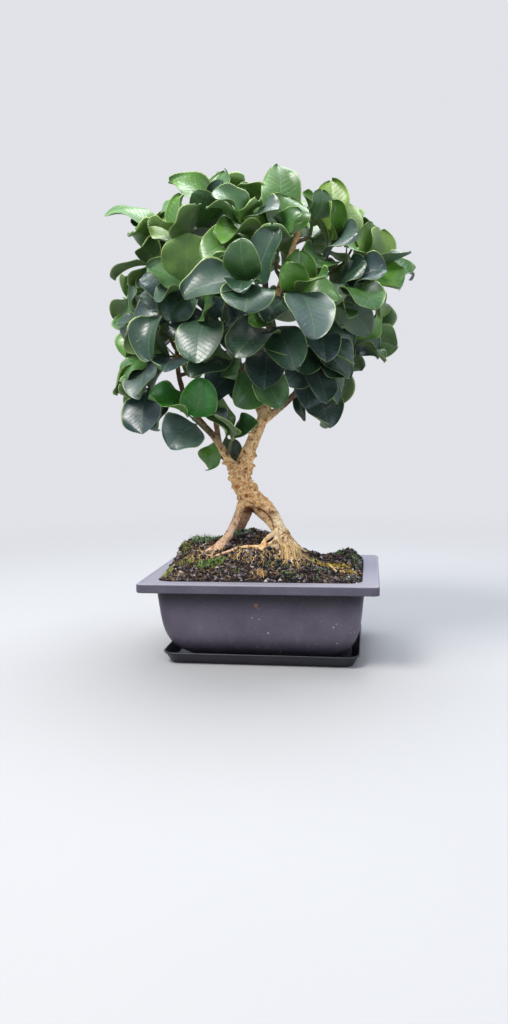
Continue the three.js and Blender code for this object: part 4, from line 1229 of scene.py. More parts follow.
def pot_specks(look, place, x, z):
    """Pale specks in three sizes, most of them low down at the right."""
    where = look.range(look.noise(place, 17, 2), 0.42, 0.58) * look.range(x, -60, 60, 0.2, 1.0)
    where = where * look.range(z, 30, 60, 1.0, 0.1)
    for size, width in SPECKS:
        speck = look.fall(look.cells(place, size), width * 0.6, width)
        yield speck * where * 0.85, (0.6, 0.57, 0.55)


def pot_stain(look, x, y, z):
    """Share of the one rusty stain on the front wall."""
    across, up = (look.math("POWER", p - c, 2.0) for p, c in zip((x, z), POT["stain"]))
    spot = look.fall(look.math("SQRT", across + up), STAIN_RADIUS * 0.2, STAIN_RADIUS)
    return spot * look.range(y, -40, -55) * 0.75


def pot_look():
    """Matte purple-grey moulded plastic: white specks, water marks, dust and one stain, with a painted
    highlight over the rim's top and painted shade in its groove, under the rim and towards the foot.
    """
    look = Look("pot_plastic")
    place = look.place()
    x, y, z = look.split(place)
    top, lip, foot = POT["top"], POT["top"] - POT["rim_face"], POT["bottom"]
    cloud = look.range(look.noise(place, 34, 4, 0.6), 0.3, 0.7)
    fine = look.noise(place, 0.9, 3, 0.7)
    body = look.painted(
        look.mix(cloud, (0.099, 0.084, 0.117), (0.134, 0.115, 0.152)),
        # painted shade: the body darkens to near black just under the rim's overhang
        (look.range(z, top - 30, lip - 3, 0.0, 0.97), (0.0075, 0.007, 0.0125)),
        # painted shade: darker towards the foot, where the wall tucks under
        (look.range(z, foot + 4, foot + 26, 0.6, 0.0), (0.034, 0.032, 0.046)),
    )
    rim = look.mix(cloud, (0.075, 0.07, 0.1), (0.1, 0.094, 0.128))
    # painted highlight: the rim's top and the top of its face are painted pale
    rim_top_highlight = look.range(z, top - 1.3, top - 0.6)
    # painted shade: a dark line where the rim's bevel begins, under the painted highlight
    groove = look.fall(z, top - 0.62, top - 0.46) * rim_top_highlight
    run = look.range(look.noise(look.place((1, 1, 0.1)), 7, 3, 0.6), 0.52, 0.75)
    scratch = look.range(look.noise(look.place((0.14, 1, 1)), 1.1, 2), 0.62, 0.75, 0.0, 0.16)
    colour = look.painted(
        look.mix(look.range(z, lip - 0.6, lip + 0.2), body, rim),
        # painted highlight over the rim's top, then a painted shade line in its groove
        (rim_top_highlight * 0.8, (0.38, 0.37, 0.44)), (groove * 0.5, (0.1, 0.095, 0.13)),
        (look.range(fine, 0.5, 0.8, 0.0, 0.3), (0.2, 0.175, 0.21)),
        (run * look.range(z, 20, 50, 0.16, 0.05), (0.26, 0.23, 0.25)), (scratch, (0.3, 0.28, 0.32)),
        *pot_specks(look, place, x, z), (pot_stain(look, x, y, z), (0.3, 0.15, 0.07)),
    )
    return look.done(
        base_color=colour, roughness=look.range(fine, 0.3, 0.75, 0.4, 0.56),
        normal=look.bump(fine, 0.25, 0.12), specular_ior_level=0.3,
    )


def tray_look():
    """Near-black moulded plastic with fine pale dust all over."""
    look = Look("tray_plastic")
    cloud = look.range(look.noise(look.place(), 30, 4, 0.6), 0.3, 0.7)
    fine = look.noise(look.place(), 1.3, 3, 0.7)
    colour = look.mix(cloud, (0.009, 0.0094, 0.0145), (0.0152, 0.0154, 0.0225))
    colour = look.mix(look.range(fine, 0.55, 0.85, 0.0, 0.35), colour, (0.05, 0.048, 0.052))
    roughness = look.range(fine, 0.3, 0.75, 0.34, 0.5)
    return look.done(base_color=colour, roughness=roughness, normal=look.bump(fine, 0.2, 0.12))


def floor_look():
    """Plain pale floor that fades out far from the pot."""
    look = Look("pale_floor")
    x, y, _ = look.split(look.place())
    fade = look.fall(look.math("SQRT", x * x + y * y), 250, 1100)
    colour = look.mix(look.noise(look.place(), 160, 3), (0.395, 0.397, 0.408), (0.41, 0.412, 0.423))
    return look.done(base_color=colour, roughness=0.75, alpha=fade)


# Leafy shoots
BARK_BROWN = np.array((0.17, 0.105, 0.06))
STEM_GREEN = np.array((0.13, 0.17, 0.055))
STEM_SIDES = 9
BUD = ((0.8, 1.05), (1.8, 0.8), (2.8, 0.32)) # how far past the last leaves, and radius
# Tones that a leaf may take, by how fresh and lit it is at least: brighter towards the top and outside,
# partly younger growth and partly painted light, darker low and inside as painted shade
TONES_BY_FRESHNESS_AND_LIGHT = [
    (0.75, ["bright", "bright", "bright", "yellow", "mid"]),
    (0.5, ["bright", "fresh_and_lit", "mid", "pale", "dark"]),
    (0.28, ["mid", "dark", "dark", "blue", "pale"]),
    (-math.inf, ["dark", "dark", "blue", "blue", "grey", "mid"]),
]


def rule_tone(leaf, rng):
    """Tone of a leaf that isn't listed: fresher and brighter towards the top and the outside, partly
    younger growth and partly painted light, with painted shade low and inside.
    """
    middle = (leaf.root + leaf.tip) / 2
    height = (middle[2] - 218) / 202
    out = length((middle - CROWN["centre"]) / CROWN["reach"])
    # higher and further out means younger growth and more painted light, lower and further in means painted
    # shade
    fresh_and_lit = 0.9 * height + 0.5 * (out - 0.8) + rng.uniform(-0.25, 0.25)
    return rng.choice(next(tones for least, tones in TONES_BY_FRESHNESS_AND_LIGHT if fresh_and_lit > least))


def stem_line(shoot):
    """Smooth line of a stem, from inside its limb to a small bud past the last leaves."""
    path = np.array(shoot.path)
    inside = [*(shoot.node["point"] * 0.8 + path[0, :3] * 0.2), STEM["start"] * 1.15]
    line = smooth_path(np.vstack([inside, path]), 3)
    way = unit(line[-1, :3] - line[-2, :3])
    bud = [[*(path[-1, :3] + way * far), radius] for far, radius in BUD]
    return np.vstack([line, bud])


def stem_tones(count):
    """Brown at the limb, green towards the leaves."""
    share = np.repeat(np.linspace(0, 1, count), STEM_SIDES)[:, None]
    blend = ramp(share, 0.25, 0.6)
    return BARK_BROWN * (1 - blend) + STEM_GREEN * blend


def shoot_piece(shoot, materials, rng):
    batch = Batch()
    line = stem_line(shoot)
    batch.rod(line, STEM_SIDES, stem_tones(len(line)), 1)
    for leaf in shoot.leaves:
        add_leaf(batch, leaf, leaf.tone or rule_tone(leaf, rng), line, rng)
    piece = batch.piece(f"leafy_{shoot.name}", materials)
    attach(piece, "root")
    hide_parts(shoot.name)


# Wood
WOOD = {"sides": 14, "skin": 0.95, "ball_rings": 9, "ball_sides": 12}
BURLS = [
    [-25, -6, 150, 3.6], [-11.5, -7, 150.5, 3.8], [-17, -8, 145, 3.4], [-8.5, -6, 143, 4],
    [-22, -7, 139, 3.2], [-11, -8, 137.5, 3.6], [-29.5, -5, 157, 3.2], [-17, -8, 160, 3.2],
    [-25, -7, 168, 2.8], [-31.5, -3, 165, 2.8], [-5.5, -7, 134, 3.4], [-13, -6, 156, 3],
    [-28, 0, 149, 3], [-9, -2, 149, 3],
    [-16, 7, 150, 4], [-26, 5, 154, 3.8], [-10, 5, 144, 4.2], [-17, 6, 139, 4], [-22, 7, 163, 3.8],
    [17.5, -18.6, 98.6, 3], [14, -15.5, 101, 2.4], [25, -9, 98, 4],
    [-34, -12, 103, 2.4], [-37, -13, 97, 2.8],
]
PRUNED_STUBS = [
    [[-14, 0, 175, 2.6], [-9, -2, 176, 2], [-6.5, -2.5, 177, 1.6]],
    [[-15, -1, 166, 2.6], [-10.5, -3, 167, 2], [-8, -3.5, 168, 1.6]],
    [[-33, 0, 171, 2.2], [-36.5, -3, 170, 1.8], [-38, -4, 169.5, 1.4]],
    [[-2, -2, 206, 2.4], [2.5, -5, 208, 1.8], [3.6, -6, 209, 1.4]],
    [[-8, -2, 194, 2.4], [-12.5, -5, 196, 1.7], [-13.6, -5.8, 197, 1.3]],
]
# Old branch scars on the trunk: the middle of each ring and its radius
SCARS = [
    [-31, -7, 166, 3.4], [-22, -11, 156, 3.6], [-12.5, -8, 152, 2.8], [-27, -9, 147, 2.6],
    [-16, -10.5, 141, 3.2], [-8, -8, 146, 2.8], [-20, -10, 170, 2.6], [-15, -9.5, 163, 2.4],
    [-8, -5, 187, 2.6], [-20, 11, 152, 3.6], [-12, 9, 162, 3], [-26, 9, 164, 3], [-33, 2, 158, 2.8],
    [18, -19, 104, 2.6], [10, -13, 121, 2], [-28, -9, 157, 2.6], [-25, -10, 151, 2.2],
    [-13, -9.5, 146, 2.2], [-18, -10, 166, 2], [-9, -8.5, 140, 2.4], [-21, -10, 145, 2.4],
]
# Hollows beside the foot and under the fork of the legs, sunk in and darkened with painted shade: middle
# and radius
HOLLOWS = [[13.5, -20.5, 97, 1.8], [-14, -4, 126, 4], [17, -21, 95, 2]]
FOOT_ROOTS = [
    [[-37, -13, 101, 1.7], [-41, -15, 97, 1.3], on_soil(-45, -18, 0.9, 0.3), on_soil(-50, -21, 0.6, -1)],
    [[-38, -10, 100, 1.8], [-43, -9, 96.5, 1.4], on_soil(-48, -8, 1, 0.3), on_soil(-54, -8, 0.6, -1)],
    [[13, -15, 104, 1.9], [8, -18, 101, 1.5], [3, -19, 98.5, 1.2], on_soil(-2, -22, 0.8, -0.8)],
]
FOOT = (23, -13) # middle of the right foot
FOOT_STRANDS = {
    "count": 11, "radius": 1.15, "seed": 5,
    "from": 195, "to": 365, # angles in degrees, seen from above
    "down_leg": ((15, -11, 111, 5.2), (18, -12.4, 103, 7), (21.5, -13, 97, 8.4)), # middle and distance
    "on_soil": ((11, 0.8, 0.2), (14.5, 0.5, -1)), # distance, share of the radius and lift
}


def foot_strands():
    """Thin roots that run down the surface of the right leg into the soil."""
    rng = random.Random(FOOT_STRANDS["seed"])
    start, end = FOOT_STRANDS["from"], FOOT_STRANDS["to"]
    lines = []
    for k in range(FOOT_STRANDS["count"]):
        share = k / (FOOT_STRANDS["count"] - 1)
        turn = start + (end - start) * share + rng.uniform(-6, 6)
        radius = FOOT_STRANDS["radius"] * rng.uniform(0.7, 1.25)
        line = []
        for x, y, z, out in FOOT_STRANDS["down_leg"]:
            angle = math.radians(turn + rng.uniform(-9, 9))
            line.append([*polar(x, y, out, angle), z + rng.uniform(-1, 1), radius])
        for out, thin, lift in FOOT_STRANDS["on_soil"]:
            line.append(on_soil(*polar(*FOOT, out, math.radians(turn)), radius * thin, lift))
        lines.append(line)
    return lines


def ball_line(x, y, z, radius):
    """Rings of a round lump that sits in the wood."""
    turns = np.linspace(math.pi - 0.25, 0.25, WOOD["ball_rings"])
    return [[x, y, z + radius * math.cos(a), radius * math.sin(a)] for a in turns]


def lifted(path):
    """Surface root raised where the crumbly soil would bury it, its end still in the soil."""
    line = smooth_path(path, 1)
    for point in line[:-2]:
        point[2] = max(point[2], ground(point[0], point[1]) + 0.5 + 0.4 * point[3])
    return smooth_path(line, 2)


def wood_lines():
    lines = [smooth_path(path, 2) for path in [TRUNK, *LEGS, *LIMBS.values()]]
    lines += [lifted(path) for path in SURFACE_ROOTS]
    lines += [smooth_path(path, 2) for path in [*FOOT_ROOTS, *foot_strands()]]
    return lines + [np.array(path, float) for path in PRUNED_STUBS]


def remeshed(piece, voxel):
    """Points, normals and faces of a piece after its overlapping shells are made one skin."""
    modifier = piece.modifiers.new("one_skin", "REMESH")
    modifier.mode = "VOXEL"
    modifier.voxel_size = voxel * MM
    smoother = piece.modifiers.new("softened", "SMOOTH")
    smoother.factor = 0.5
    smoother.iterations = 3
    solved = piece.evaluated_get(bpy.context.evaluated_depsgraph_get())
    mesh = solved.to_mesh()
    points, normals = np.zeros((2, len(mesh.vertices) * 3))
    mesh.vertices.foreach_get("co", points)
    mesh.vertices.foreach_get("normal", normals)
    faces = [tuple(face.vertices) for face in mesh.polygons]
    solved.to_mesh_clear()
    bpy.data.objects.remove(piece)
    return points.reshape(-1, 3) / MM, normals.reshape(-1, 3), faces


def line_gap(points, line):
    """Distance of each point outside a tapering rod, and the rod's radius there."""
    gap = np.full(len(points), FAR)
    girth = np.zeros(len(points))
    for p, q in zip(line[:-1], line[1:]):
        way = q[:3] - p[:3]
        share = np.clip(((points - p[:3]) @ way) / (way @ way), 0, 1)
        radius = p[3] + (q[3] - p[3]) * share
        off = np.linalg.norm(points - (p[:3] + share[:, None] * way), axis=1) - radius
        closer = off < gap
        gap[closer] = off[closer]
        girth[closer] = radius[closer]
    return gap, girth


def girth_at(points, lines):
    """Radius of the wood nearest to each point."""
    girth = np.zeros(len(points))
    nearest = np.full(len(points), FAR)
    for line in lines:
        gap, radius = line_gap(points, line)
        closer = gap < nearest
        nearest[closer] = gap[closer]
        girth[closer] = radius[closer]
    return girth


def distances(points, place):
    return np.linalg.norm(points - np.array(place), axis=1)


def scar_relief(points, broken):
    """Raised rims of the old branch scars, and the sunk middle and broken moat of each."""
    raised = np.zeros(len(points))
    sunk = np.zeros(len(points))
    for *place, radius in SCARS:
        away = distances(points, place)
        rim = hill(away - radius, 0.35 * radius) * (0.4 + 0.6 * broken)
        middle = hill(away, 0.5 * radius)
        moat = 0.7 * hill(away - 1.6 * radius, 0.3 * radius) * broken
        raised = np.maximum(raised, rim)
        sunk = np.maximum(sunk, np.maximum(middle * (0.55 + 0.45 * broken), moat))
    return raised, sunk


def knottiness(points):
    """Strong around the knotted middle of the trunk, mild on the legs and limbs."""
    z = points[:, 2]
    return 0.3 + 0.62 * (ramp(z, 128, 12) * ramp(z, 180, -14))


def leg_seams(points):
    """Creases where two of the fused legs meet, 1 along the crease and 0 away from it."""
    gaps = np.sort([line_gap(points, smooth_path(leg, 2))[0] for leg in LEGS], axis=0)
    return hill(gaps[1] - gaps[0], 0.8) * ramp(points[:, 2], 133, -5) * (gaps[0] < 1.5)


def foot_grooves(points):
    """Grooves between the root strands that make up the right foot."""
    x, y, z = points.T
    near = ramp(z, 114, -8) * ramp(x, 11, 4) * (np.hypot(x - 22, y + 12) < 24)
    turn = np.arctan2(y + 12, x - 12 - 0.55 * (112 - z))
    groove = np.zeros(len(points))
    for i in np.nonzero(near)[0]:
        groove[i] = fractal(5.2 * turn[i], 0, z[i] / 22, 1, 2, 4.4)
    return hill(groove, 0.15) * near


def hollows(points):
    return np.max([hill(distances(points, place), radius) for *place, radius in HOLLOWS], axis=0)


def bark_relief(points, girth):
    """How far the bark stands out at each point, and how light it is painted (0 to 1): painted highlight on
    raised knobs and scar rims, painted shade in cracks, sunk scars, creases, grooves and hollows.
    """
    knobs, cracks, grain = np.array([(
        fractal(x, y, z * 1.15, 4.6, 2, 3.1),
        abs(fractal(x, y, z * 0.8, 3.4, 3, 7.7)),
        fractal(x, y, z * 0.6, 1.5, 3, 1.3),
    ) for x, y, z in points]).T
    raised, sunk = scar_relief(points, np.clip(0.3 + 2.2 * knobs, 0, 1))
    folded = np.maximum(np.maximum(leg_seams(points), 0.9 * foot_grooves(points)), hollows(points))
    stout = np.clip(girth / 8, 0.12, 1) * knottiness(points)
    height = stout * (2.1 * knobs - hill(cracks, 0.07) + 1.7 * raised - 1.9 * sunk)
    height += 0.35 * grain * np.clip(stout + 0.2, 0, 0.9) - 0.2 * stout - 1.5 * folded
    # painted light level: raised knobs and scar rims lighter, cracks, sunk scars, creases, grooves and
    # hollows darker as painted shade
    level = 0.6 + 0.6 * knobs - 0.36 * hill(cracks, 0.08) + 0.26 * grain
    level += 0.45 * raised - 0.95 * sunk - 1.1 * folded
    return height, np.clip(level, 0, 1)


BARK = {
    name: np.array(colour) for name, colour in (
        ("tan", (1.0, 0.67, 0.33)), ("gold", (0.9, 0.7, 0.42)), ("pink", (0.82, 0.53, 0.38)),
        ("rust", (0.36, 0.2, 0.125)), ("brown", (0.23, 0.145, 0.095)),
    )
}


def bark_tones(points):
    """Golden tan low down and on the cut leader, browner in the crown and on thin limbs (partly their own
    bark, partly painted shade under the leaves), pinker on the left legs, rust-brown at the back and on the
    strut under the right leg, with painted shade under the crotch.
    """
    x, y, z = points.T
    main = [np.array(LIMBS["right"][:5], float), np.array(TRUNK, float)]
    branched = np.min([line_gap(points, line)[0] for line in main], axis=0)
    thin = ramp(branched, 1, 14) * ramp(z, 170, 26)
    leader = ramp(line_gap(points, np.array(LIMBS["leader"][1:], float))[0], 6, -3)
    left = ramp(x, -20, -6) * ramp(z, 134, -12)
    rear = ramp(y, -1, 6) * ramp(z, 134, -8) * ramp(x, 8, -6)
    right = ramp(x, 2, 6) * ramp(z, 138, -12)
    below = ramp(12 - (x - 2) - (126 - z), 0, 4) * ramp(x, -4, 4) * (z > 112) * (z < 128)
    # painted shade under the crotch of the legs
    crotch_shade = np.exp(-(((x + 12) / 10) ** 2) - ((z - 126) / 5) ** 2)
    # browner up in the crown and on thin limbs: partly their own bark, partly painted shade under the
    # leaves
    darker = np.clip(ramp(z, 206, 34) * 0.7 + thin * 0.85, 0, 1) * (1 - leader)
    tones = BARK["tan"]
    for colour, share in (
        (BARK["gold"], right), (BARK["pink"], 0.7 * left), (BARK["rust"], 0.9 * rear),
        (BARK["rust"], 0.55 * below), (BARK["rust"] * 0.6, 0.9 * crotch_shade), (BARK["brown"], darker),
    ):
        tones = tones + (colour - tones) * share[:, None]
    return tones


def wood_piece(material):
    lines = wood_lines()
    batch = Batch()
    for line in lines:
        batch.rod(line, WOOD["sides"])
    for burl in BURLS:
        batch.rod(ball_line(*burl), WOOD["ball_sides"])
    points, normals, faces = remeshed(batch.piece("wood_shells", []), WOOD["skin"])
    heights, painted_light_levels = bark_relief(points, girth_at(points, lines))
    points = points + normals * heights[:, None]
    colours = np.column_stack([bark_tones(points), painted_light_levels])
    piece = make_piece("tree_wood", points, faces, [material], layers={"tone": ("FLOAT_COLOR", colours)})
    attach(piece, "root")
    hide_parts("trunk")


# Rounded rectangles for the pot, the tray and the soil
def rounded_ring(half_x, half_y, corner, z, per_corner=10, per_side=6):
    """Rounded rectangle seen from above, counter-clockwise, with points along its sides too."""
    radius = max(min(corner, half_x, half_y), 0.05)
    quarters = [(1, 1), (-1, 1), (-1, -1), (1, -1)]
    centres = [(sx * (half_x - radius), sy * (half_y - radius)) for sx, sy in quarters]
    ring = []
    for quarter, centre in enumerate(centres):
        for k in range(per_corner + 1):
            ring.append([*polar(*centre, radius, (quarter + k / per_corner) * math.pi / 2), z])
        after = polar(*centres[(quarter + 1) % 4], radius, (quarter + 1) * math.pi / 2)
        last = ring[-1]
        for k in range(1, per_side):
            ring.append([p + (q - p) * (k / per_side) for p, q in zip(last, after)] + [z])
    return ring


def skinned(name, rings, materials, tone=(1, 1, 1)):
    batch = Batch()
    batch.add(np.concatenate(rings), ring_faces(len(rings), len(rings[0])), tone)
    return batch.piece(name, materials)


# Pot and tray
FEET = [(sx, sy) for sx in (-50, 50) for sy in (-26, 26)]
DRAINS = [(-32, 0), (32, 0)]
PILLAR_SIDES = 32
# Rim from its lip over its outer edge: distance inwards, then the level and the height over it
RIM_OUTSIDE = [
    (0.7, "lip", 0), (0.15, "lip", 0.35), (0, "lip", 0.9), (0, "top", -1.5), (0.2, "top", -0.75),
    (0.8, "top", -0.25), (1.6, "top", -0.05), (2.2, "top", 0), (2.7, "top", -0.05), (3.1, "top", -0.45),
    (3.6, "top", -0.5),
]
RIM_MIDDLE = (6.5, 10)
# Rim's inner edge: distance from the wall's inside and height over the top
RIM_INSIDE = [(1.2, -0.5), (0.7, -0.45), (0.2, -0.7), (0, -1.4)]


def pot_tuck(z):
    body_top = POT["top"] - POT["rim_face"]
    share = min(max((z - POT["bottom"]) / (body_top - POT["bottom"]), 0), 1)
    return POT["slope"] * (1 - share) + POT["tuck_in"] * (1 - share) ** POT["tuck_power"]


def pot_ring(z, inwards, *fineness):
    drawn = pot_tuck(z) + inwards
    half_x = POT["length"] / 2 - POT["rim_reach"] - drawn
    half_y = POT["width"] / 2 - POT["rim_reach"] - drawn
    return rounded_ring(half_x, half_y, max(POT["corner"] - inwards, 2), z, *fineness)


def pot_rings():
    """From the foot up the wall, over the rim and down inside."""
    wall, top, bottom = POT["wall"], POT["top"], POT["bottom"]
    under, lip = top - POT["rim_thickness"], top - POT["rim_face"]
    over = {"lip": lip, "top": top}
    inside = POT["rim_reach"] + wall

    def rim(inset, corner, z):
        return rounded_ring(POT["length"] / 2 - inset, POT["width"] / 2 - inset, corner, z)

    heights = [bottom + (k / 20) ** 1.6 * (lip - bottom) for k in range(21)]
    rings = [pot_ring(bottom, 3)]
    rings += [pot_ring(z, 0) for z in [*heights, under - 2, under]]
    rings += [rim(POT["rim_thickness"], 3, z) for z in (under, lip)]
    rings += [rim(inset, 4.2, over[level] + rise) for inset, level, rise in RIM_OUTSIDE]
    rings += [rim(inset, 6, top - 0.5) for inset in RIM_MIDDLE]
    rings += [rim(inside - edge, 12, top + rise) for edge, rise in RIM_INSIDE]
    rings += [pot_ring(z, wall) for z in reversed(heights[1:])]
    return rings + [pot_ring(bottom + wall, wall + 3)]


def pillars(name, places, low, high, radius, material):
    """Upright cylinders at places seen from above."""
    batch = Batch()
    for place in places:
        rings = [circle(*place, z, radius, PILLAR_SIDES) for z in (low, high)]
        batch.add(rings, ring_faces(2, PILLAR_SIDES), (1, 1, 1))
    return batch.piece(name, [material], smooth=False)


def cut_or_join(piece, other, operation):
    """Piece with another joined to it or cut from it."""
    modifier = piece.modifiers.new(operation.lower(), "BOOLEAN")
    modifier.operation = operation
    modifier.solver = "EXACT"
    modifier.object = other
    graph = bpy.context.evaluated_depsgraph_get()
    solved = bpy.data.meshes.new_from_object(piece.evaluated_get(graph))
    piece.modifiers.clear()
    piece.data = solved
    bpy.data.objects.remove(other)


def pot_piece(material):
    piece = skinned("flared_pot", pot_rings(), [material])
    bottom = POT["bottom"]
    feet = pillars("feet", FEET, TRAY["floor"] + GAP, bottom + 1, POT["foot_radius"], material)
    drains = pillars("drains", DRAINS, bottom - 4, bottom + 8, POT["drain_radius"], material)
    cut_or_join(piece, feet, "UNION")
    cut_or_join(piece, drains, "DIFFERENCE")
    piece.data.shade_smooth()
    piece.modifiers.new("even_shading", "WEIGHTED_NORMAL").keep_sharp = True
    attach(piece, "root")
    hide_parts("pot")


def tray_piece(material):
    height, flare, wall, floor = TRAY["height"], TRAY["flare"], TRAY["wall"], TRAY["floor"]
    corner = TRAY["corner"]
    outer, inner = corner - 3, corner - 3 - wall # corners at the foot
    profile = [
        (flare + 1.2, 0, outer), (flare + 0.3, 0.1, outer), (flare - 0.3, 0.6, outer),
        (1.5, height - 2.6, corner), (1, height - 2, corner), (0.35, height - 1.75, corner),
        (0, height - 1.3, corner), (0, height - 0.5, corner), (0.3, height - 0.1, corner),
        (0.8, height, corner - 0.8), (1.3, height - 0.15, corner - 1.2),
        (wall, height - 0.6, corner - wall), (wall + 1, height - 2, corner - wall),
        (flare + wall - 0.5, floor + 0.8, inner), (flare + wall, floor + 0.2, inner),
        (flare + wall + 1, floor, inner),
    ]
    rings = [
        rounded_ring(TRAY["length"] / 2 - inset, TRAY["width"] / 2 - inset, radius, z)
        for inset, z, radius in profile
    ]
    piece = skinned("flared_drip_tray", rings, [material])
    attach(piece, "root")
    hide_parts("drip_tray")


# Soil, with what lies and grows on it
SOIL_BASE = (0.022, 0.016, 0.013)
SOIL_TONES = [
    (0.009, 0.008, 0.011), (0.02, 0.017, 0.022), (0.066, 0.053, 0.061), (0.005, 0.005, 0.007),
    (0.2, 0.168, 0.19), (0.09, 0.052, 0.04),
]
GRIT_TONES = [(0.26, 0.15, 0.07), (0.52, 0.47, 0.49), (0.17, 0.1, 0.055)]
CRUMB_TONES = SOIL_TONES * 6 + GRIT_TONES
FIBRE_TONES = [
    (0.62, 0.42, 0.19), (0.38, 0.23, 0.1), (0.74, 0.56, 0.31), (0.16, 0.1, 0.06), (0.26, 0.15, 0.07),
]
ROOT_GOLDS = [(0.8, 0.57, 0.25), (0.66, 0.42, 0.17), (0.9, 0.7, 0.4)]
MOSS_GREENS = [(0.22, 0.4, 0.06), (0.13, 0.27, 0.04), (0.36, 0.52, 0.16), (0.05, 0.11, 0.025)]
MOSS_TIPS = [(0.36, 0.55, 0.27), (0.5, 0.66, 0.42), (0.15, 0.3, 0.1), (0.06, 0.14, 0.05)]
MOSS_DARKS = [(0.06, 0.15, 0.04), (0.12, 0.24, 0.08), (0.26, 0.42, 0.2), (0.022, 0.05, 0.02)]
MOSS_GOLDS = [
    (0.85, 0.5, 0.03), (0.62, 0.38, 0.05), (0.32, 0.33, 0.05), (0.9, 0.62, 0.16), (0.2, 0.24, 0.05),
]
MOSS_LIMES = [(0.36, 0.38, 0.08), (0.18, 0.28, 0.05), (0.5, 0.44, 0.16), (0.08, 0.11, 0.03)]
INNER = POT["wall"] + GAP
SOIL_HALF_X = POT["length"] / 2 - POT["rim_reach"] - INNER
SOIL_HALF_Y = POT["width"] / 2 - POT["rim_reach"] - INNER
SOIL_FINENESS = (14, 40) # points of a ring at each corner and along each side
SOIL_RINGS = 46 # rings of the top, from the wall to the middle
WALL_SHARES = (0.06, 0.14, 0.26, 0.45, 1) # heights of the rings along the wall
CRUMB_COUNT = 11000
FIBRES = {"count": 2600, "points": 5}

# Moss patches: middle, half widths, blades, tallest blade, hump under the patch and tones
MOSS = [
    (-58, 5, 16, 8, 800, 5.6, 1.2, MOSS_TIPS), (-45, -32, 14, 7, 800, 3.8, 1, MOSS_GREENS),
    (-82, -38, 7, 13, 620, 3.6, 1, MOSS_LIMES), (-66, -28, 12, 8, 380, 3, 0.4, MOSS_LIMES),
    (-74, -6, 9, 10, 420, 3.4, 0.6, MOSS_LIMES),
    (68, 34, 19, 15, 1500, 2.8, 4.2, MOSS_DARKS), (80, 8, 7, 14, 460, 2.6, 2.2, MOSS_DARKS),
    (46, -26, 12, 6, 380, 2.4, 0.8, MOSS_DARKS), (62, -14, 15, 9, 1400, 3, 1.4, MOSS_GOLDS),
    (76, -22, 7, 7, 380, 2.4, 1, MOSS_GOLDS), (40, -10, 10, 6, 260, 2.4, 0.6, MOSS_GREENS),
    (78, -40, 8, 8, 240, 2, 0.8, MOSS_DARKS),
    (-24, -44, 10, 5, 120, 2.2, 0.4, MOSS_DARKS), (28, -47, 13, 5, 260, 2.4, 0.4, MOSS_GREENS),
    (52, -50, 14, 4, 160, 2, 0.4, MOSS_DARKS), (14, -33, 12, 7, 240, 2.2, 0.4, MOSS_DARKS),
    (-22, 1, 10, 5, 340, 4, 0.6, MOSS_TIPS), (-36, 36, 24, 13, 900, 3.4, 1.6, MOSS_DARKS),
    (22, 38, 26, 12, 900, 3, 1.6, MOSS_DARKS), (-72, 36, 11, 14, 420, 3.6, 1.2, MOSS_GREENS),
    (4, 20, 12, 6, 160, 2.4, 0.4, MOSS_GREENS),
]

# Fine roots on the soil: places to pass, the radius at the start and how high they loop
FINE_ROOTS = [
    ([(-12, -19), (-14, -26), (-12, -34)], 0.5, 0.5), ([(-19, -20), (-22, -28), (-18, -36)], 0.45, 0.5),
    ([(-7, -18), (-5, -27), (-9, -36), (-7, -42)], 0.5, 0.6),
    ([(0, -17), (2, -26), (-1, -34), (1, -39)], 0.45, 0.5),
    ([(-28, -21), (-32, -28), (-28, -35)], 0.4, 0.4), ([(-34, -21), (-42, -27), (-50, -30)], 0.5, 0.4),
    ([(-44, -23), (-52, -20), (-61, -22)], 0.4, 0.4),
    ([(8, -17), (12, -26), (9, -34), (13, -41)], 0.45, 0.5),
    ([(-46, -12), (-54, -15), (-62, -15), (-71, -19)], 0.55, 0.4),
    ([(-43, -17), (-50, -24), (-60, -29)], 0.5, 0.4),
    ([(-49, -9), (-58, -8), (-66, -12)], 0.45, 0.4), ([(32, -13), (40, -18), (50, -19)], 0.55, 0.4),
    ([(31, -8), (40, -7), (50, -11), (58, -13)], 0.55, 0.4), ([(24, -22), (28, -29), (24, -36)], 0.45, 0.4),
    ([(58, -21), (66, -26), (75, -31)], 0.95, 0.9), ([(56, -14), (66, -18), (76, -22)], 0.5, 0.7),
    ([(-28, 20), (-40, 28), (-52, 28), (-62, 34)], 0.7, 0.4),
    ([(30, 6), (42, 12), (54, 12), (64, 20)], 0.7, 0.4),
    ([(10, 8), (18, 20), (30, 30), (34, 40)], 0.6, 0.4), ([(-20, 20), (-18, 32), (-8, 42)], 0.5, 0.4),
]
ROOT_NEST = {
    "centre": (2, -52), "loops": 11, "radius": (2.2, 6.4), "height": 3.6, "points": 16,
    "tones": ROOT_GOLDS[1:2] + FIBRE_TONES[1:2] + FIBRE_TONES[3:],
}
FOOT_HAIRS = {
    "count": 90, "turn": (-125, 40), # degrees, seen from above
    "down_leg": ((16.5, -12, 107, 6.4), (19, -12.6, 101, 7.6), (22, -13, 96.5, 9.4)), # middle and distance
}
# Tufts of root hairs: where they start, how many, which way they run in degrees and how widely
HAIR_TUFTS = [
    (16, -21, 20, -90, 60), (24, -21, 18, -70, 50), (4, -18, 14, -95, 50), (-10, -19, 24, -95, 40),
    (-24, -20, 24, -100, 40), (-40, -14, 26, -165, 60), (-50, -16, 24, 180, 60), (31, -12, 14, -30, 60),
    (38, -12, 14, -15, 60), (0, -51, 12, -80, 180), (-28, 18, 10, 120, 80), (22, 0, 10, 45, 80),
    (-60, -22, 22, 190, 70), (-16, -24, 14, -90, 40),
]
HAIR_STEP = 1.7
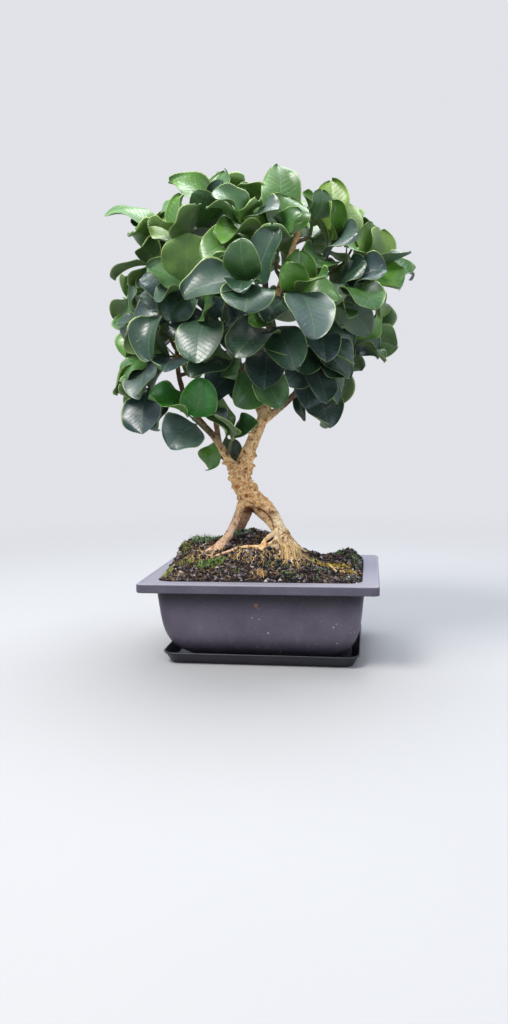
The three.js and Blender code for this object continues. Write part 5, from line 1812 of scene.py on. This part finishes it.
# Points and faces of a lump, and faces of a blade of moss
LUMP = [(0, 0, 1), (0.94, 0, 0.2), (0.1, 0.9, 0.1), (-0.9, 0.1, 0.25), (0, -0.95, 0.15), (0, 0.05, -0.8)]
LUMP_FACES = [(0, 1, 2), (0, 2, 3), (0, 3, 4), (0, 4, 1), (5, 2, 1), (5, 3, 2), (5, 4, 3), (5, 1, 4)]
MOSS_FACES = [(0, 1, 4, 3), (1, 2, 5, 4), (2, 0, 3, 5), (3, 4, 6), (4, 5, 6), (5, 3, 6), (2, 1, 0)]


def inside_pot(x, y, margin):
    """True where a place is on the soil, away from the pot's wall."""
    ox = max(abs(x) - (SOIL_HALF_X - POT["corner"]), 0)
    oy = max(abs(y) - (SOIL_HALF_Y - POT["corner"]), 0)
    within = abs(x) < SOIL_HALF_X - margin and abs(y) < SOIL_HALF_Y - margin
    return within and math.hypot(ox, oy) < POT["corner"] - margin


def soil_spot(rng, margin):
    while True:
        x = rng.uniform(-SOIL_HALF_X, SOIL_HALF_X)
        y = rng.uniform(-SOIL_HALF_Y, SOIL_HALF_Y)
        if inside_pot(x, y, margin):
            return x, y


def ground(x, y):
    """Height of the crumbly soil surface."""
    edge = min((SOIL_HALF_X - abs(x)) / 6, (SOIL_HALF_Y - abs(y)) / 6, 1)
    rough = 2.2 * fractal(x, y, 0, 9, 3, 5.2) + 1.9 * abs(fractal(x, y, 9, 3.2, 2, 2.2))
    humps = sum(hump * bell(x, y, *patch) for *patch, _, _, hump, _ in MOSS)
    lumpy = humps * (0.75 + 0.9 * fractal(x, y, 4, 5.5, 2, 8.4))
    return soil_height(x, y) + (rough + lumpy) * (0.3 + 0.7 * max(edge, 0)) - 0.8


def soil_piece(material):
    low, high = POT["bottom"], POT["top"] - POT["rim_face"]
    rings = [pot_ring(low + INNER, INNER + 3, *SOIL_FINENESS)]
    for share in WALL_SHARES:
        rings.append(pot_ring(low + share * (high - low), INNER + 0.3, *SOIL_FINENESS))
    for share in np.linspace(1, 0.02, SOIL_RINGS):
        size = (SOIL_HALF_X * share, SOIL_HALF_Y * share, POT["corner"] * share)
        rings.append([[x, y, ground(x, y)] for x, y, _ in rounded_ring(*size, 0, *SOIL_FINENESS)])
    piece = skinned("mounded_soil", rings, [material], SOIL_BASE)
    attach(piece, "root")
    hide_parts("soil")


def finish_litter(batch, name, material, smooth=True):
    piece = batch.piece(name, [material], smooth)
    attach(piece, "root")


def crumbs(material, rng):
    """Loose crumbs of soil, bark and grit."""
    batch = Batch()
    for _ in range(CRUMB_COUNT):
        x, y = soil_spot(rng, 1.4)
        base = ground(x, y)
        size = 0.45 + 2.3 * rng.random() ** 3
        spin = rng.uniform(0, 2 * math.pi)
        flat = rng.uniform(0.5, 1.05)
        tone = rng.choice(CRUMB_TONES)
        points = []
        for px, py, pz in LUMP:
            px, py = px * rng.uniform(0.7, 1.25), py * rng.uniform(0.6, 1.1)
            points.append([
                x + size * (px * math.cos(spin) - py * math.sin(spin)),
                y + size * (px * math.sin(spin) + py * math.cos(spin)),
                base + size * (pz * flat + 0.25),
            ])
        batch.add(points, LUMP_FACES, tone)
    finish_litter(batch, "soil_crumbs", material, smooth=False)


def strand(batch, points, radius, tone, sides, thin_to=0.35):
    """Thin tapering tube through points."""
    last = len(points) - 1
    line = [[*p, radius * (1 - (1 - thin_to) * i / last)] for i, p in enumerate(points)]
    batch.rod(line, sides, tone)


def fibres(material, rng):
    """Short dry fibres and root hairs lying over the soil, more of them at the left."""
    batch = Batch()
    last = FIBRES["points"] - 1
    for _ in range(FIBRES["count"]):
        x, y = soil_spot(rng, 3)
        if rng.random() < 0.45 + 0.45 * x / SOIL_HALF_X:
            continue
        heading = rng.uniform(0, 2 * math.pi)
        reach = rng.uniform(2.5, 9)
        curl = rng.uniform(-2.2, 2.2)
        hop = rng.uniform(0.2, 1.9)
        points = []
        for k in range(last + 1):
            if inside_pot(x, y, 1.6):
                points.append([x, y, ground(x, y) + 0.45 + hop * math.sin(math.pi * (k / last))])
            heading += curl * 0.3
            x, y = polar(x, y, reach / last, heading)
        if len(points) > 2:
            strand(batch, points, rng.uniform(0.09, 0.19), rng.choice(FIBRE_TONES), 3)
    finish_litter(batch, "soil_fibres", material)


def moss_blade(x, y, tall, rng):
    """Points of a short bent blade, three-sided and pointed."""
    lean = rng.uniform(0, 2 * math.pi)
    bend = rng.uniform(0.1, 0.8) * tall
    half = rng.uniform(0.2, 0.36)
    base = ground(x, y) - 0.2
    out = (math.cos(lean), math.sin(lean))
    side = (-out[1] * half, out[0] * half)
    mid = (x + 0.35 * bend * out[0], y + 0.35 * bend * out[1])
    return [
        [x + side[0], y + side[1], base], [x - side[0], y - side[1], base],
        [x + half * out[0], y + half * out[1], base],
        [mid[0] + side[0] * 0.8, mid[1] + side[1] * 0.8, base + tall * 0.6],
        [mid[0] - side[0] * 0.8, mid[1] - side[1] * 0.8, base + tall * 0.6],
        [mid[0] + half * 0.7 * out[0], mid[1] + half * 0.7 * out[1], base + tall * 0.58],
        [x + bend * out[0], y + bend * out[1], base + tall],
    ]


def moss(material, rng):
    """Tufts of moss: short bent blades standing on the soil."""
    batch = Batch()
    for cx, cy, wide, deep, count, tallest, _, tones in MOSS:
        for _ in range(count * 2):
            turn = rng.uniform(0, 2 * math.pi)
            out = rng.random() ** 0.6
            x, y = cx + wide * out * math.cos(turn), cy + deep * out * math.sin(turn)
            clump = fractal(x, y, 3, 5, 2, 9.1)
            if clump < -0.2 or rng.random() < 0.2 or not inside_pot(x, y, 1.8):
                continue
            tall = tallest * (0.25 + 0.8 * rng.random() ** 1.6 + 0.4 * max(clump, 0)) * (1.15 - 0.4 * out)
            batch.add(moss_blade(x, y, tall, rng), MOSS_FACES, rng.choice(tones))
    finish_litter(batch, "soil_moss", material)


def wandering(places, rng):
    """Line through places on the soil, with small bends between them."""
    steps = 7
    line = []
    for start, end in zip(places, places[1:]):
        for k in range(steps):
            line.append([p + (q - p) * (k / steps) + rng.uniform(-0.8, 0.8) for p, q in zip(start, end)])
    return line + [places[-1]]


def main_roots(batch, rng):
    """Golden roots that run out over the soil from the foot of the tree."""
    for places, radius, loop in FINE_ROOTS:
        line = [p for p in wandering(places, rng) if inside_pot(*p, 2)]
        points = [[x, y, ground(x, y) + radius * 0.5 + loop * rng.uniform(0.1, 1)] for x, y in line]
        strand(batch, smooth_path(points, 2), radius, rng.choice(ROOT_GOLDS), 6)


def root_nest(batch, rng):
    """Curly knot of dry roots that lies on the soil near the front wall."""
    cx, cy = ROOT_NEST["centre"]
    last = ROOT_NEST["points"] - 1
    for _ in range(ROOT_NEST["loops"]):
        radius = rng.uniform(*ROOT_NEST["radius"])
        x, y = cx + rng.uniform(-1.5, 1.5), cy + rng.uniform(-1.5, 1.5)
        base = ground(x, y) + ROOT_NEST["height"]
        lean = rng.uniform(0.7, 1.4)
        start, sweep = rng.uniform(0, 2 * math.pi), rng.uniform(4, 9)
        swirl = rng.uniform(-1.2, 1.2)
        twist, bumps = rng.uniform(0, 6), rng.uniform(1.6, 4)
        points = []
        for k in range(last + 1):
            angle = start + sweep * k / last
            reach = radius * (1 - 0.45 * k / last) * (1 + 0.26 * math.sin(bumps * angle + twist))
            across, deep = reach * math.cos(angle), 0.8 * reach * math.sin(angle)
            px, py = polar(x, y, across, swirl)
            py = max(py + deep * math.cos(lean), -SOIL_HALF_Y + 2)
            points.append([px, py, base + deep * math.sin(lean)])
        tone = rng.choice(ROOT_NEST["tones"])
        strand(batch, smooth_path(points, 1), rng.uniform(0.18, 0.38), tone, 6, 0.5)


def foot_hairs(batch, rng):
    """Fine golden roots that run down the right foot and fan out over the soil."""
    for _ in range(FOOT_HAIRS["count"]):
        turn = math.radians(rng.uniform(*FOOT_HAIRS["turn"]))
        points = []
        for x, y, z, out in FOOT_HAIRS["down_leg"]:
            turn += rng.uniform(-0.08, 0.08)
            points.append([*polar(x, y, out, turn), z + rng.uniform(-1, 1)])
        for out in (11.5, 14.5, rng.uniform(16, 24)):
            turn += rng.uniform(-0.1, 0.1)
            x, y = polar(*FOOT, out, turn)
            points.append([x, y, ground(x, y) + rng.uniform(0.2, 1)])
        first = rng.choice([0, 1, 1, 2])
        line = smooth_path(points[first:], 1)
        strand(batch, line, rng.uniform(0.16, 0.34), rng.choice(ROOT_GOLDS + FIBRE_TONES[:1]), 4)


def root_hairs(batch, rng):
    """Tufts of thin hairs that creep away over the soil."""
    for sx, sy, count, way, spread in HAIR_TUFTS:
        for _ in range(count):
            heading = math.radians(way + rng.uniform(-spread, spread))
            x, y = sx + rng.uniform(-5, 5), sy + rng.uniform(-3, 3)
            points = []
            for _ in range(rng.randint(5, 12)):
                if not inside_pot(x, y, 2.2):
                    break
                points.append([x, y, ground(x, y) + rng.uniform(0.3, 1.3)])
                heading += rng.uniform(-0.5, 0.5)
                x, y = polar(x, y, HAIR_STEP, heading)
            if len(points) > 3:
                tone = rng.choice(ROOT_GOLDS + FIBRE_TONES[:3])
                strand(batch, smooth_path(points, 1), rng.uniform(0.14, 0.3), tone, 4)


def fine_roots(material, rng):
    batch = Batch()
    for grow in (main_roots, root_nest, foot_hairs, root_hairs):
        grow(batch, rng)
    finish_litter(batch, "fine_roots", material)


# Stage: floor, light and camera at the photograph's viewing angle
CAMERA = {
    "place": (0.0935, -0.6895, 0.2071),
    "yaw": -8.58, "pitch": 6.68, "roll": -1.07, # degrees
    "focal": 776.1, # in pixels of the frame's long side
    "long_side": 1024, "sensor": 36,
}
SKY = {
    "backdrop": (0.755, 0.765, 0.805),
    "daylight": (0.86, 0.92, 1.0),
    "mirrored": (0.84, 0.91, 1.12), # what glossy surfaces reflect
    "strength": (-0.1, 1.0, 0.28, 1.0), # from the horizon to overhead
}
LIGHTS = {
    # name: place in metres, width in metres, power in watts, colour
    "key": ((-0.65, -0.75, 1.55), 0.7, 31, (1.0, 0.97, 0.92)),
    "top": ((0.1, 0.3, 1.6), 1.0, 21, (0.96, 0.98, 1.0)),
    "fill": ((1.3, -1.2, 0.6), 1.0, 5, (0.92, 0.95, 1.0)),
}
LIT_PLACE = (0, 0, 0.25) # what the lights point at, in metres
FLOOR = {"radius": 1500, "sides": 96, "level": -0.1}


def add_camera():
    yaw, pitch, roll = (math.radians(CAMERA[key]) for key in ("yaw", "pitch", "roll"))
    ahead = Vector((math.sin(yaw) * math.cos(pitch), math.cos(yaw) * math.cos(pitch), -math.sin(pitch)))
    level = Vector((math.cos(yaw), -math.sin(yaw), 0))
    upright = level.cross(ahead)
    right = level * math.cos(roll) + upright * math.sin(roll)
    up = upright * math.cos(roll) - level * math.sin(roll)
    data = bpy.data.cameras.new("camera")
    data.sensor_width = CAMERA["sensor"]
    data.lens = CAMERA["focal"] * data.sensor_width / CAMERA["long_side"]
    camera = bpy.data.objects.new("camera", data)
    matrix = Matrix((right, up, -ahead)).transposed().to_4x4()
    matrix.translation = Vector(CAMERA["place"])
    camera.matrix_world = matrix
    bpy.context.scene.collection.objects.link(camera)
    bpy.context.scene.camera = camera


def add_light(name, place, size, power, colour):
    data = bpy.data.lights.new(name, "AREA")
    data.shape = "DISK"
    data.size = size
    data.energy = power
    data.color = colour
    light = bpy.data.objects.new(name, data)
    light.location = place
    light.rotation_euler = (Vector(LIT_PLACE) - Vector(place)).to_track_quat("-Z", "Y").to_euler()
    bpy.context.scene.collection.objects.link(light)


def add_sky():
    """Even pale backdrop, and softer daylight that is brightest overhead."""
    world = bpy.data.worlds.new("soft_daylight")
    world.use_nodes = True
    sky = Nodes(world.node_tree, "OutputWorld")
    upwards = sky.split(sky.give("Generated", "TexCoord"))[2]
    strength = sky.range(upwards, *SKY["strength"], shape="LINEAR")
    light = sky.give(0, "Background", color=SKY["daylight"], strength=strength)
    for ray, shown in (("Is Glossy Ray", "mirrored"), ("Is Camera Ray", "backdrop")):
        choice = sky.add("MixShader")
        for socket, value in zip(choice.inputs, (
            sky.give(ray, "LightPath"), light, sky.give(0, "Background", color=SKY[shown]),
        )):
            sky.put(socket, value)
        light = Wire(sky, choice.outputs[0])
    sky.put(sky.output.inputs[0], light)
    bpy.context.scene.world = world


def add_stage():
    sides = FLOOR["sides"]
    points = circle(0, 0, FLOOR["level"], FLOOR["radius"], sides)
    floor = make_piece("floor", points, [tuple(range(sides))], [floor_look()], smooth=False)
    add_sky()
    for name, values in LIGHTS.items():
        add_light(name, *values)
    bpy.context.scene.view_settings.view_transform = "Standard"


# The whole part
SEEDS = {"leaves": 7, "litter": 11}


def build():
    leafy = [leaf_look(), twig_look()]
    litter = litter_look()
    rng = random.Random(SEEDS["leaves"])
    for shoot in grow_crown():
        shoot_piece(shoot, leafy, rng)
    wood_piece(bark_look())
    pot_piece(pot_look())
    tray_piece(tray_look())
    soil_piece(soil_look())
    for make in (crumbs, fibres, moss, fine_roots):
        make(litter, random.Random(SEEDS["litter"]))


add_camera()
add_stage()
build()
bpy.context.view_layer.update()
